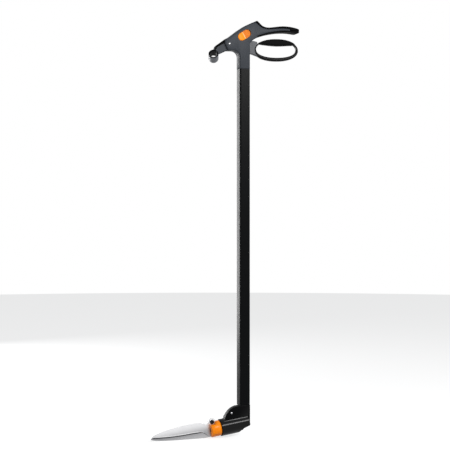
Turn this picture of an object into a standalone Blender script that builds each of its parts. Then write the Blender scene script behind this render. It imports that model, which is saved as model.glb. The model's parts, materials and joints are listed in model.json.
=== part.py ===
# Long-handled grass shears.
# A finger loop below the grip pulls a rod up the square tube. A bell crank in the foot turns that pull
# into a pull along the swivel axis, which closes the upper blade onto the fixed one. The head turns a
# quarter turn about the swivel axis, so that the tool trims a lawn or its edge.
# X points from the blades to the grip, Z up, Y away from the viewer. The origin is the hanging eye.

import bpy
import bmesh
from math import acos, atan2, copysign, cos, degrees, hypot, pi, radians, sin, sqrt
from mathutils import Matrix, Vector

for old in list(bpy.data.objects):
    bpy.data.objects.remove(old)

MM = 0.001
GAP = 0.3 * MM
SNUG = 0.15 * MM
SCREW_PLAY = 0.2 * MM

# Tube
TUBE_LENGTH = 842.5 * MM
TUBE_SIZE = 27 * MM
TUBE_WALL = 1.6 * MM
TUBE_CORNER = 3.6 * MM
TUBE_SCREW_INSET = 16 * MM

# Moulded housings
WALL = 2.5 * MM
EDGE_ROUND = 2.4 * MM
SPIGOT_LENGTH = 34 * MM
SPIGOT_WALL = 2.6 * MM
SCREW_R = 1.5 * MM
SCREW_HEAD_R = 3 * MM
SCREW_SINK = 3.6 * MM
BOSS_R = 3.6 * MM
SCREW_HEAD = 1.4 * MM
SCREW_DOME = 0.6 * MM

# Grip, measured from the tube's axis and from the housing's lower edge
GRIP_REACH = 147.5 * MM
GRIP_LEVEL = 104 * MM
HORN_HEIGHT = 122.5 * MM
HORN_X = 32.5 * MM
NOSE_REACH = 8.9 * MM
NOSE_RISE = 10.6 * MM
NOSE_DROP = 15.8 * MM
FILLET_R = 16 * MM
PAD_TOP = 5.4 * MM
PAD_LOWER = 3.2 * MM
PAD_PROUD = 0.6 * MM

# Hanging eye
EYE_X = -79.5 * MM
EYE_H = 28.9 * MM
EYE_OUTER_R = 12.6 * MM
EYE_BORE_R = 8.8 * MM
EYE_LENGTH = 25 * MM
EYE_TWIST = radians(29)
ARM_DEPTH = 15 * MM

# Trigger
TRIGGER_X = -42.1 * MM
TRIGGER_H = 60.4 * MM
TRIGGER_SWING = radians(14)
LEVER_DEPTH = 9 * MM
LEVER_EYE_R = 7.5 * MM
BRACKET_RISE = 12 * MM
BRACKET_DROP = 11 * MM
LOOP_X = 88.4 * MM
LOOP_H = 51.5 * MM
LOOP_HALF_WIDTH = 59.8 * MM
LOOP_HALF_HEIGHT = 27.5 * MM
LOOP_TILT = radians(2.5)
LOOP_SQUARE = 2.2
LOOP_RIM = 4.7 * MM
LOOP_RIM_FOOT = 9.6 * MM
LOOP_DEPTH = 12 * MM
FINGER_PAD_THICK = 10 * MM
FINGER_PAD_DEPTH = 19 * MM

# Lock
LOCK_X = -1.8 * MM
LOCK_DROP = 21.4 * MM
LOCK_LEAN = radians(0.46)
LOCK_LENGTH = 38 * MM
LOCK_WIDTH = 20 * MM
LOCK_TRAVEL = 10 * MM
LOCK_PLATE = 2 * MM
LOCK_PROUD = 3 * MM
PLATE_LAP = 1.5 * MM

# Rods and pins
ROD_R = 3 * MM
PIN_R = 2.5 * MM
SMALL_PIN_R = 2 * MM
ROD_EYE_R = 6 * MM
GUIDE_HEIGHT = 12 * MM
GUIDE_PLACES = (0.2, 0.6)
SPRING_R = 6.4 * MM
SPRING_WIRE_R = 0.9 * MM
SPRING_LENGTH = 40 * MM
SPRING_TURNS = 8

# Foot: quarter disc, bell crank and barrel
DISC_PLAY = 0.8 * MM
DISC_X = -14 * MM
DISC_Z = 4.4 * MM
CRANK_X = -36.5 * MM
CRANK_Z = 28.2 * MM
CRANK_DEPTH = 11.6 * MM
CRANK_SLOT = 6.8 * MM
CRANK_HUB_R = 5.4 * MM
HEAD_TILT = radians(8)
BARREL_R = 21.3 * MM
BARREL_BORE_R = 13.8 * MM
BARREL_BACK = -11.5 * MM
BORE_BACK = 15.5 * MM

# Swivel head, measured outward along the swivel axis
COLLAR_R = 19.2 * MM
COLLAR_LENGTH = 25 * MM
COLLAR_DISC = 4.6 * MM
SPINDLE_R = 11 * MM
SPINDLE_BORE_R = 4.6 * MM
SPINDLE_LENGTH = 20.5 * MM
SPOOL_PLAY = 1 * MM
DRIVE_R = 3.2 * MM
SPOOL_R = 6.3 * MM
SPOOL_GROOVE = 6.8 * MM
FLANGE = 2 * MM

# Blades
BLADE_THICK = 2.4 * MM
BLADE_TIP = 243 * MM
BLADE_WIDTH = 41.4 * MM
PIVOT_INSET = 6 * MM
PIVOT_UP = 19.2 * MM
BLADE_SWING = radians(28)
HUB_R = 10 * MM
GRIND = 5 * MM
BOLT_R = 3 * MM
BOLT_HEAD_R = 6.2 * MM

# Places that follow
HALF = TUBE_SIZE / 2
NOSE_X = TRIGGER_X - NOSE_REACH
NOSE_TOP = TRIGGER_H + NOSE_RISE
NOSE_UNDER = TRIGGER_H - NOSE_DROP
BRACKET_TOP = TRIGGER_H + BRACKET_RISE
BRACKET_FOOT = LOOP_H - BRACKET_DROP
DISC_R = hypot(CRANK_X - DISC_X, CRANK_Z - DISC_Z) + CRANK_HUB_R + WALL + DISC_PLAY
FOOT_TOP = DISC_Z + DISC_R - 0.1 * MM
HANDLE_Z = FOOT_TOP + TUBE_LENGTH
INNER_HALF = HALF - TUBE_WALL
CAVITY_Y = HALF - WALL
PART_Y = 0.15 * MM
SCREW_REACH = HALF - SCREW_SINK + 0.1 * MM
BOSS_Y = 0.3 * MM
ROD_ARM = -TRIGGER_X
ROD_TRAVEL = ROD_ARM * TRIGGER_SWING
CRANK_ARM = -CRANK_X
CRANK_SWING = ROD_TRAVEL / CRANK_ARM
CRANK_REST = CRANK_SWING / 2
CRANK_DROP = CRANK_ARM * sin(HEAD_TILT) + CRANK_Z * cos(HEAD_TILT)
CRANK_OUT = -CRANK_X * cos(HEAD_TILT) - CRANK_Z * sin(HEAD_TILT)
DRIVE_TRAVEL = CRANK_DROP * CRANK_SWING
PIN_ARM = PIVOT_UP / cos(BLADE_SWING / 2) * 0.985
SPOOL_OUT = CRANK_OUT - CRANK_DROP * sin(CRANK_REST)
SPINDLE_BACK = SPOOL_OUT + SPOOL_GROOVE / 2 + FLANGE + DRIVE_TRAVEL + SPOOL_PLAY
BARREL_FRONT = SPINDLE_BACK + SPINDLE_LENGTH
COLLAR_BACK = BARREL_FRONT + GAP
COLLAR_FRONT = COLLAR_BACK + COLLAR_LENGTH
PIVOT_OUT = COLLAR_FRONT - PIVOT_INSET


def points_mm(pairs):
    """Points given in millimetres, as metres."""
    return [(x * MM, z * MM) for x, z in pairs]


def moved(outline, dx, dz):
    return [(x + dx, z + dz) for x, z in outline]


def outward(outline):
    """Head outlines are drawn outward along the swivel axis, which points to -X."""
    return [(-s, t) for s, t in outline]


def arc(cx, cz, radius, start, end, steps):
    """Points on an arc between two angles in degrees, both ends included."""
    angles = [radians(start + (end - start) * i / steps) for i in range(steps + 1)]
    return [(cx + radius * cos(a), cz + radius * sin(a)) for a in angles]


def circle(cx, cz, radius, steps=24):
    return arc(cx, cz, radius, 0, 360, steps)[:-1]


def smooth(points, per_span=2):
    """A Catmull-Rom curve through the points, ends included."""
    ends = [points[0]] + list(points) + [points[-1]]
    curve = []
    for a, b, c, d in zip(ends, ends[1:], ends[2:], ends[3:]):
        for i in range(per_span):
            t = i / per_span
            curve.append(tuple(
                0.5 * (2 * q + (r - p) * t + (2 * p - 5 * q + 4 * r - s) * t ** 2
                       + (3 * q - p - 3 * r + s) * t ** 3)
                for p, q, r, s in zip(a, b, c, d)))
    return curve + [tuple(points[-1])]


def signed_area(outline):
    return sum(a[0] * b[1] - b[0] * a[1] for a, b in zip(outline, outline[1:] + outline[:1])) / 2


def inset(outline, distance):
    """The outline moved inward along its corner bisectors."""
    side = copysign(1, signed_area(outline))
    result = []
    for before, here, after in zip(outline[-1:] + outline[:-1], outline, outline[1:] + outline[:1]):
        first = Vector((here[0] - before[0], here[1] - before[1])).normalized()
        second = Vector((after[0] - here[0], after[1] - here[1])).normalized()
        bisector = Vector((-(first.y + second.y), first.x + second.x)) * side
        stretch = max(bisector.length_squared / 2, 0.35)
        move = bisector / stretch * distance
        result.append((here[0] + move.x, here[1] + move.y))
    return result


def rounded_rectangle(width, height, corner, steps=4):
    x, z = width / 2 - corner, height / 2 - corner
    corners = ((x, z, 0), (-x, z, 90), (-x, -z, 180), (x, -z, 270))
    return [p for cx, cz, a in corners for p in arc(cx, cz, corner, a, a + 90, steps)]


def capsule(cx, cz, length, width, tilt, steps=10):
    half = (length - width) / 2
    turn = degrees(tilt)
    x, z = half * cos(tilt), half * sin(tilt)
    right = arc(cx + x, cz + z, width / 2, turn - 90, turn + 90, steps)
    left = arc(cx - x, cz - z, width / 2, turn + 90, turn + 270, steps)
    return right + left


def link(c0, r0, c1, r1, steps=10):
    """A tapered link: the hull of two circles."""
    dx, dz = c1[0] - c0[0], c1[1] - c0[1]
    turn = degrees(atan2(dz, dx))
    lean = degrees(acos((r0 - r1) / hypot(dx, dz)))
    return (arc(c0[0], c0[1], r0, turn + lean, turn + 360 - lean, steps)
            + arc(c1[0], c1[1], r1, turn - lean, turn + lean, steps))


def layers(rings):
    """A solid through closed rings of equal length, each a list of 3-D points, capped at both ends."""
    bm = bmesh.new()
    loops = [[bm.verts.new(p) for p in ring] for ring in rings]
    for low, high in zip(loops, loops[1:]):
        for i in range(len(low)):
            j = (i + 1) % len(low)
            bm.faces.new((low[i], low[j], high[j], high[i]))
    bm.faces.new(loops[0])
    bm.faces.new(loops[-1])
    return bm


def prism(outline, y0, y1, round0=0.0, round1=0.0, steps=2):
    """An outline in the XZ plane, extruded from y0 to y1, with rounded edges at either end."""
    way = copysign(1, y1 - y0)
    rings = []
    for i in range(steps + 1 if round0 else 1):
        a = pi / 2 * i / steps if round0 else pi / 2
        rings.append((y0 + way * round0 * (1 - cos(a) if round0 else 0), round0 * (1 - sin(a))))
    for i in range(steps + 1 if round1 else 1):
        a = pi / 2 * i / steps if round1 else 0
        rings.append((y1 - way * round1 * (1 - sin(a) if round1 else 0), round1 * (1 - cos(a))))
    return layers([[(x, y, z) for x, z in inset(outline, d)] for y, d in rings])


def lathe(profile, steps=24, axis='X', closed=False):
    """A profile of (distance along the axis, radius) pairs, turned about that axis.

    An end at radius zero is a point of a dome, or closes a flat face where its neighbour lies level."""
    bm = bmesh.new()
    flat_start = not closed and profile[0][0] == profile[1][0]
    flat_end = not closed and profile[-1][0] == profile[-2][0]
    rings = []
    for along, radius in profile[flat_start:len(profile) - flat_end]:
        if radius == 0:
            rings.append([bm.verts.new((along, 0, 0))] * steps)
        else:
            turns = [2 * pi * i / steps for i in range(steps)]
            rings.append([bm.verts.new((along, radius * cos(a), radius * sin(a))) for a in turns])
    for low, high in zip(rings, rings[1:] + rings[:1] if closed else rings[1:]):
        for i in range(steps):
            j = (i + 1) % steps
            corners = list(dict.fromkeys((low[i], low[j], high[j], high[i])))
            if len(corners) > 2:
                bm.faces.new(corners)
    if flat_start:
        bm.faces.new(rings[0])
    if flat_end:
        bm.faces.new(rings[-1])
    turn = {'X': Matrix(), 'Y': Matrix.Rotation(pi / 2, 4, 'Z'), 'Z': Matrix.Rotation(-pi / 2, 4, 'Y')}
    bm.transform(turn[axis])
    return bm


def pin(radius, a0, a1, steps=12, axis='Y', head=None, head_length=0.0, dome=0.0):
    """A plain pin from a0 to a1, with a head of a larger radius at a0 where one is given."""
    way = copysign(1, a1 - a0)
    profile = [(a0, 0), (a0, radius)]
    if head:
        crown = head * 0.62
        profile = [(a0 - way * (head_length + dome), 0), (a0 - way * (head_length + dome), crown),
                   (a0 - way * head_length, head), (a0, head), (a0, radius)]
    return lathe(profile + [(a1, radius), (a1, 0)], steps, axis)


def washer(radius, bore, a0, a1, steps=12, axis='Y'):
    return lathe([(a0, bore), (a0, radius), (a1, radius), (a1, bore)], steps, axis, closed=True)


def at(bm, x=0.0, y=0.0, z=0.0):
    bm.transform(Matrix.Translation((x, y, z)))
    return bm


def finish(name, colour, roughness, metallic=0.0):
    mat = bpy.data.materials.new(name)
    mat.use_nodes = True
    shader = mat.node_tree.nodes['Principled BSDF']
    shader.inputs['Base Color'].default_value = (*colour, 1)
    shader.inputs['Roughness'].default_value = roughness
    shader.inputs['Metallic'].default_value = metallic
    mat.diffuse_color = (*colour, 1)
    return mat


def frame(name, parent, location, turn_y=0.0):
    empty = bpy.data.objects.new(name, None)
    empty.empty_display_size = 0.02
    bpy.context.collection.objects.link(empty)
    empty.parent = parent
    empty.location = location
    empty.rotation_euler = (0, turn_y, 0)
    return empty


def shape(name, bm, parent, origin=(0, 0, 0)):
    """An object whose mesh was drawn in its parent's frame, with its own origin at a joint."""
    bmesh.ops.recalc_face_normals(bm, faces=bm.faces)
    bm.transform(Matrix.Translation(-Vector(origin)))
    mesh = bpy.data.meshes.new(name)
    bm.to_mesh(mesh)
    bm.free()
    obj = bpy.data.objects.new(name, mesh)
    bpy.context.collection.objects.link(obj)
    obj.parent = parent
    obj.location = origin
    return obj


def add(name, bm, parent, look, origin=(0, 0, 0)):
    obj = shape(name, bm, parent, origin)
    mesh = obj.data
    mesh.shade_smooth()
    mesh.set_sharp_from_angle(angle=radians(35))
    mesh.materials.append(finish(name, *look))
    return obj


def combine(obj, operation, *solids):
    """Joins guides to an object or cuts them from it, each by its own Boolean."""
    for i, bm in enumerate(solids):
        guide = shape(f'{obj.name}_{operation.lower()}_{len(obj.modifiers)}', bm, obj.parent)
        guide.hide_render = True
        guide.display_type = 'WIRE'
        guide.hide_set(True)
        boolean = obj.modifiers.new(guide.name, 'BOOLEAN')
        boolean.operation = operation
        boolean.solver = 'EXACT'
        boolean.object = guide
    return obj


def join(obj, *solids):
    return combine(obj, 'UNION', *solids)


def cut(obj, *solids):
    return combine(obj, 'DIFFERENCE', *solids)


# Finishes: colour, roughness, metallic
HOUSING_GREY = ((0.075, 0.08, 0.09), 0.45, 0.0)
SOFT_BLACK = ((0.012, 0.012, 0.013), 0.75, 0.0)
BLACK_PLASTIC = ((0.016, 0.016, 0.018), 0.42, 0.0)
ORANGE = ((0.95, 0.33, 0.02), 0.4, 0.0)
ANODISED = ((0.02, 0.02, 0.022), 0.35, 0.6)
STEEL = ((0.55, 0.55, 0.56), 0.3, 1.0)
BLADE_STEEL = ((0.62, 0.62, 0.63), 0.36, 1.0)
DARK_STEEL = ((0.09, 0.09, 0.1), 0.4, 1.0)
NATURAL_NYLON = ((0.7, 0.68, 0.62), 0.5, 0.0)
LEVER_GREY = ((0.13, 0.135, 0.145), 0.45, 0.0)

# Frames: the eye is the origin, the tool's own frame has the swivel axis at the tube's axis as its zero
tool = frame('tool', None, (-EYE_X, 0, -(HANDLE_Z + EYE_H)))
handle = frame('handle', tool, (0, 0, HANDLE_Z))
head = frame('swivel_axis', tool, (0, 0, 0), -HEAD_TILT)


# Tube
def square_tube(size, corner, wall, z0, z1):
    outer = rounded_rectangle(size, size, corner)
    inner = rounded_rectangle(size - 2 * wall, size - 2 * wall, corner - wall)
    bm = bmesh.new()
    rings = [[bm.verts.new((x, y, z)) for x, y in loop]
             for loop, z in ((outer, z0), (outer, z1), (inner, z1), (inner, z0))]
    for low, high in zip(rings, rings[1:] + rings[:1]):
        for i in range(len(low)):
            j = (i + 1) % len(low)
            bm.faces.new((low[i], low[j], high[j], high[i]))
    return bm


tube_screw_heights = (FOOT_TOP + TUBE_SCREW_INSET, HANDLE_Z - TUBE_SCREW_INSET)
tube = add('tube', square_tube(TUBE_SIZE, TUBE_CORNER, TUBE_WALL, FOOT_TOP + GAP, HANDLE_Z - GAP), tool,
           ANODISED)
for z in tube_screw_heights:
    cut(tube, at(pin(SCREW_R + GAP, INNER_HALF - 3 * MM, HALF + 3 * MM, 12, 'X'), z=z))
for name, z in zip(('tube_screw_lower', 'tube_screw_upper'), tube_screw_heights):
    add(name, at(pin(SCREW_R, HALF + GAP, HALF - 9 * MM, 10, 'X', SCREW_HEAD_R, 0.8 * MM, 0.5 * MM), z=z),
        tool, DARK_STEEL)


# Handle housing: one outline for both shells, drawn from the column round by the grip to the nose
def grip_top(pad):
    """Upper edge of the soft pad (0) or of the core under it (1), from the horn's point to the tip."""
    saddle = (GRIP_REACH * 0.376, GRIP_LEVEL + 3.7 * MM)
    skin = [(HORN_X + (saddle[0] - HORN_X) * along, HORN_HEIGHT + (saddle[1] - HORN_HEIGHT) * down)
            for along, down in ((0, 0), (0.265, 0.32), (0.61, 0.79), (1, 1))]
    skin += [(GRIP_REACH * share, GRIP_LEVEL + rise * MM) for share, rise in (
        (0.454, 3.4), (0.57, 6.2), (0.698, 8.7), (0.834, 8.3), (0.936, 6.2))]
    share = (1, 0.95, 0.8, 0.68, 0.66, 0.8, 0.95, 1, 1)
    return offset_line(skin, [-PAD_TOP * pad * part for part in share])


def grip_underside():
    """Lower edge of the soft pad, from the tip to the column."""
    return [(GRIP_REACH * share, GRIP_LEVEL - drop * MM) for share, drop in (
        (0.942, 7), (0.834, 5.7), (0.698, 6.3), (0.559, 9.1), (0.424, 13.5), (0.292, 19.8),
        (0.183, 27.2), (0.121, 34))] + [(HALF, GRIP_LEVEL - 39.6 * MM)]


def offset_line(points, distances):
    """An open line moved to its left, each point by its own distance."""
    result = []
    for i, (x, z) in enumerate(points):
        before, after = points[max(i - 1, 0)], points[min(i + 1, len(points) - 1)]
        dx, dz = after[0] - before[0], after[1] - before[1]
        length = hypot(dx, dz)
        result.append((x - dz / length * distances[i], z + dx / length * distances[i]))
    return result


def height_on(line, x):
    """Height at x of a line whose points run towards -X."""
    right, left = next((a, b) for a, b in zip(line, line[1:]) if b[0] <= x)
    return left[1] + (right[1] - left[1]) * (x - left[0]) / (right[0] - left[0])


GRIP_CORE_END = GRIP_REACH - 24 * MM
PAD_START = 31 * MM
top_line = smooth(grip_top(0))
under_line = smooth(grip_underside())
core_top = [p for p in smooth(grip_top(1)) if p[0] < GRIP_CORE_END]
under_skin = [p for p in under_line if PAD_START < p[0] < GRIP_REACH - 7 * MM]
core_under = [p for p in offset_line(under_line, [-PAD_LOWER] * len(under_line)) if p[0] < GRIP_CORE_END]
core_under = core_under[:sum(1 for p in under_line if p[0] > PAD_START) - len(under_line) + len(core_under)]
pad_foot = [(core_under[-1][0] - GAP, core_under[-1][1] - GAP / 3),
            (under_skin[-1][0] - GAP, under_skin[-1][1] - GAP / 3)]
bare_under = pad_foot + [p for p in under_line if p[0] < PAD_START - MM]
brow_shares = ((1, 1), (0.831, 0.88), (0.625, 0.711), (0.39, 0.454), (0.158, 0.168), (0, 0))
brow = smooth([(NOSE_X + (HORN_X - NOSE_X) * along, NOSE_TOP + (HORN_HEIGHT - NOSE_TOP) * up)
               for along, up in brow_shares])
horn_edge_x = core_top[0][0] - 0.2 * MM
horn_seam = (horn_edge_x, height_on(brow, horn_edge_x))
LOCK_H = height_on(brow, LOCK_X) - LOCK_DROP
LOCK_SPAN = 10 * MM
lock_rise = height_on(brow, LOCK_X + LOCK_SPAN) - height_on(brow, LOCK_X - LOCK_SPAN)
LOCK_TILT = atan2(lock_rise, 2 * LOCK_SPAN) + LOCK_LEAN
brow_line = [p for p in brow if p[0] < horn_seam[0] - MM]
nose_end = smooth([(NOSE_X, NOSE_TOP), (NOSE_X - 2.6 * MM, NOSE_TOP - 9 * MM),
                   (NOSE_X + 1.5 * MM, NOSE_TOP - 17 * MM), (NOSE_X + 6.6 * MM, NOSE_UNDER)], 2)
throat = arc(-HALF - FILLET_R, NOSE_UNDER + 0.6 * MM - FILLET_R, FILLET_R, 90, 0, 7)
column_foot = [(-HALF, 0), (HALF, 0)]
housing = (column_foot + bare_under[::-1] + core_under[::-1] + core_top[::-1] + [horn_seam] + brow_line
           + nose_end[1:] + throat)
GRIP_ROOT = 44 * MM
chest = (column_foot + bare_under[:0:-1] + [p for p in core_under[::-1] if p[0] < GRIP_ROOT]
         + [p for p in core_top[::-1] if HORN_X < p[0] < GRIP_ROOT] + brow_line[1:] + nose_end[1:] + throat)

COLUMN_SCREW = (8 * MM, 11 * MM)
handle_screws = [(NOSE_X + 15.5 * MM, NOSE_TOP + 3 * MM), (HORN_X - 6.5 * MM, HORN_HEIGHT - 17.5 * MM),
                 (-COLUMN_SCREW[0], COLUMN_SCREW[1]), COLUMN_SCREW]
slot_h0 = BRACKET_FOOT - 17.5 * MM
slot_h1 = BRACKET_TOP + 0.8 * MM


def arm_outline(grow=0.0):
    """Side of the hanging arm, from its root on the pin to the eye."""
    top = [(NOSE_X + 4.4 * MM, NOSE_TOP + 3.3 * MM), (EYE_X + 4 * MM, EYE_H + 24.4 * MM)]
    foot = [(EYE_X + 12.5 * MM, EYE_H + 4.7 * MM), (EYE_X + 24.5 * MM, EYE_H + 10.4 * MM),
            (TRIGGER_X - 1.4 * MM, NOSE_UNDER + MM)]
    rear = arc(TRIGGER_X, TRIGGER_H, 9 * MM, -60, 60, 6)
    return inset(top + [(EYE_X - 2 * MM, EYE_H + 8 * MM), (EYE_X, EYE_H - 4 * MM)] + foot + rear, -grow)


def spigot(side, z0, z1):
    """Half of the square plug that stands in the tube's end."""
    size = 2 * (INNER_HALF - GAP)
    outline = rounded_rectangle(size, size, TUBE_CORNER - TUBE_WALL, 3)
    half_outline = [(x, y) for x, y in outline if y * side > 0]
    half_outline.sort(key=lambda p: atan2(p[1] * side, p[0]))
    ends = [(size / 2, side * PART_Y)] + half_outline + [(-size / 2, side * PART_Y)]
    rings = [[(x, y, z) for x, y in ends] for z in (z0, z1)]
    return layers(rings)


def box(x0, x1, y0, y1, z0, z1):
    return layers([[(x0, y0, z), (x1, y0, z), (x1, y1, z), (x0, y1, z)] for z in (z0, z1)])


def handle_shell(name, side):
    shell = add(name, prism(housing, side * HALF, side * PART_Y, EDGE_ROUND), handle, HOUSING_GREY)
    join(shell, spigot(side, -SPIGOT_LENGTH, 2 * MM))
    cut(shell, prism(inset(chest, WALL), side * CAVITY_Y, -side * MM))
    bore = INNER_HALF - GAP - SPIGOT_WALL
    cut(shell, box(-bore, bore, side * bore, -side * MM, -SPIGOT_LENGTH - MM, WALL + 2 * MM))
    cut(shell, prism(arm_outline(GAP), side * (ARM_DEPTH / 2 + GAP), -side * MM))
    slot_y = side * (LEVER_DEPTH / 2 + 0.7 * MM)
    cut(shell, layers([[(HALF - WALL - MM, y, z), (HALF + 12 * MM, y, z), (HALF + 12 * MM, -side * MM, z),
                        (HALF - WALL - MM, -side * MM, z)] for y in (slot_y,) for z in (slot_h0, slot_h1)]))
    join(shell, *[prism(circle(x, h, BOSS_R, 12), side * (HALF - 1.5 * MM), side * BOSS_Y)
                  for x, h in handle_screws])
    cut(shell, *[at(pin(SCREW_R + SCREW_PLAY, side * SCREW_REACH, -side * MM, 8), x, z=h)
                 for x, h in handle_screws])
    cut(shell, at(pin(PIN_R + GAP, side * (HALF + 2 * MM), -side * MM, 12), TRIGGER_X, z=TRIGGER_H))
    cut(shell, at(pin(SCREW_R + SCREW_PLAY, 0, HALF + MM, 8, 'X'), z=-TUBE_SCREW_INSET))
    return shell


near = handle_shell('handle_shell_near', -1)
far = handle_shell('handle_shell_far', 1)
cut(near, prism(capsule(LOCK_X, LOCK_H, LOCK_LENGTH, LOCK_WIDTH, LOCK_TILT),
                -HALF - 2 * MM, -HALF + WALL + 2 * MM))
cut(far, *[at(pin(SCREW_HEAD_R + GAP, HALF + 2 * MM, HALF - SCREW_SINK, 16), x, z=h)
           for x, h in handle_screws])


def housing_screw(name, place, seat, parent):
    """A screw from the far side whose head rests at the seat, with its point in the near half."""
    screw = pin(SCREW_R, seat + PART_Y, -HALF + 4.4 * MM, 8, 'Y', SCREW_HEAD_R, SCREW_HEAD, SCREW_DOME)
    return add(name, at(screw, place[0], z=place[1]), parent, DARK_STEEL)


for i, place in enumerate(handle_screws):
    housing_screw(f'handle_screw_{i + 1}', place, HALF - SCREW_SINK, handle)


# Soft pads moulded round the grip core
def grip_band(line, inner, x0):
    """A band between the grip's skin and its core, wrapped over the full depth."""
    outer = [p for p in line if p[0] > x0]
    return outer + [p for p in inner if p[0] > x0][::-1]


TIP_ROUND = 3 * MM
tip_over = arc(GRIP_REACH - TIP_ROUND, GRIP_LEVEL + 1.2 * MM, TIP_ROUND, 75, 0, 3)
tip_under = arc(GRIP_REACH - TIP_ROUND, GRIP_LEVEL - 4 * MM, TIP_ROUND, 0, -80, 3)
pad_core_top = offset_line(core_top, [GAP] * len(core_top))
pad_core_under = offset_line(core_under[::-1], [-GAP] * len(core_under))
top_skin = [p for p in top_line if p[0] < GRIP_REACH - 8 * MM]
middle_tip = (GRIP_CORE_END + 2 * GAP, GRIP_LEVEL - 1.3 * MM)
top_pad = (top_skin + tip_over + [(GRIP_REACH, middle_tip[1] + PART_Y),
                                  (middle_tip[0], middle_tip[1] + PART_Y)] + pad_core_top[::-1]
           + [(horn_seam[0] + 0.5 * MM, horn_seam[1] + 0.3 * MM)])
lower_pad = ([(middle_tip[0], middle_tip[1] - PART_Y), (GRIP_REACH, middle_tip[1] - PART_Y)]
             + tip_under + under_skin + pad_core_under)
for name, outline, edge in (('grip_pad_top', top_pad, 1.6 * MM), ('grip_pad_lower', lower_pad, 1.2 * MM)):
    add(name, prism(outline, -HALF - PAD_PROUD, HALF + PAD_PROUD, edge, edge, 2), handle, SOFT_BLACK)


# Hanging eye: an arm held by the trigger's pin, with a ring twisted about the arm
arm_way = Vector((EYE_X - TRIGGER_X, 0, EYE_H - TRIGGER_H)).normalized()
eye_turn = Matrix.Rotation(EYE_TWIST, 4, arm_way)


def eye_ring(bm):
    bm.transform(eye_turn)
    return at(bm, EYE_X, 0, EYE_H)


half_eye = EYE_LENGTH / 2
ring_profile = [(-half_eye, 0), (-half_eye, EYE_OUTER_R - 1.2 * MM), (-half_eye + 1.2 * MM, EYE_OUTER_R),
                (half_eye - 1.2 * MM, EYE_OUTER_R), (half_eye, EYE_OUTER_R - 1.2 * MM), (half_eye, 0)]
eye = add('hanging_eye', prism(arm_outline(), -ARM_DEPTH / 2, ARM_DEPTH / 2, 2 * MM, 2 * MM, 2), handle,
          HOUSING_GREY)
join(eye, eye_ring(lathe(ring_profile, 24, 'Y')))
cut(eye, eye_ring(pin(EYE_BORE_R, -EYE_LENGTH, EYE_LENGTH, 24)))
fork_y = LEVER_DEPTH / 2 + 0.4 * MM
cut(eye, box(TRIGGER_X - LEVER_EYE_R - 0.8 * MM, 0, -fork_y, fork_y, NOSE_UNDER - 9 * MM,
             TRIGGER_H + LEVER_EYE_R + 2.6 * MM))
cut(eye, at(pin(PIN_R + GAP, -HALF, HALF, 16), TRIGGER_X, z=TRIGGER_H))


def pivot_pin(name, x, z, head_r, parent):
    """A headed pin right through a housing, its domed head on the near side."""
    body = pin(PIN_R, -HALF - GAP, HALF + GAP, 12, 'Y', head_r, 0.5 * MM, MM)
    return add(name, at(body, x, z=z), parent, STEEL)


pivot_pin('trigger_pivot_pin', TRIGGER_X, TRIGGER_H, 3.4 * MM, handle)

# Trigger lever with its loop and finger pad
PIVOT = (TRIGGER_X, 0, TRIGGER_H)


def rounded_off(share):
    """A sine or cosine bent so that the oval is a little squarer than an ellipse."""
    return copysign(abs(share) ** (2 / LOOP_SQUARE), share)


def loop_point(angle, inner, grow=0.0):
    """A point on the loop's outer or inner oval, grown outward or into the hole."""
    wide, high, lift = LOOP_HALF_WIDTH + grow, LOOP_HALF_HEIGHT + grow, 0.0
    if inner:
        lift = (LOOP_RIM_FOOT - LOOP_RIM) / 2
        wide = LOOP_HALF_WIDTH - LOOP_RIM - grow
        high = LOOP_HALF_HEIGHT - (LOOP_RIM + LOOP_RIM_FOOT) / 2 - grow
    x, h = wide * rounded_off(cos(angle)), high * rounded_off(sin(angle)) + lift
    return (LOOP_X + x * cos(LOOP_TILT) - h * sin(LOOP_TILT),
            LOOP_H + x * sin(LOOP_TILT) + h * cos(LOOP_TILT))


def rim_section(angle, half_depth, corner, grow_out=0.0, grow_in=0.0):
    """Rounded section of the rim at an angle, eight points."""
    outer, inner = loop_point(angle, False, grow_out), loop_point(angle, True, grow_in)
    span = hypot(outer[0] - inner[0], outer[1] - inner[1])
    share = min(corner / span, 0.45)
    ring = []
    for k, y in ((0, -half_depth + corner), (share, -half_depth), (1 - share, -half_depth),
                 (1, -half_depth + corner), (1, half_depth - corner), (1 - share, half_depth),
                 (share, half_depth), (0, half_depth - corner)):
        ring.append((outer[0] + (inner[0] - outer[0]) * k, y, outer[1] + (inner[1] - outer[1]) * k))
    return ring


def swept_ring(sections):
    """A closed sweep through sections of equal length."""
    bm = bmesh.new()
    loops = [[bm.verts.new(p) for p in ring] for ring in sections]
    for low, high in zip(loops, loops[1:] + loops[:1]):
        for i in range(len(low)):
            j = (i + 1) % len(low)
            bm.faces.new((low[i], low[j], high[j], high[i]))
    return bm


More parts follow.
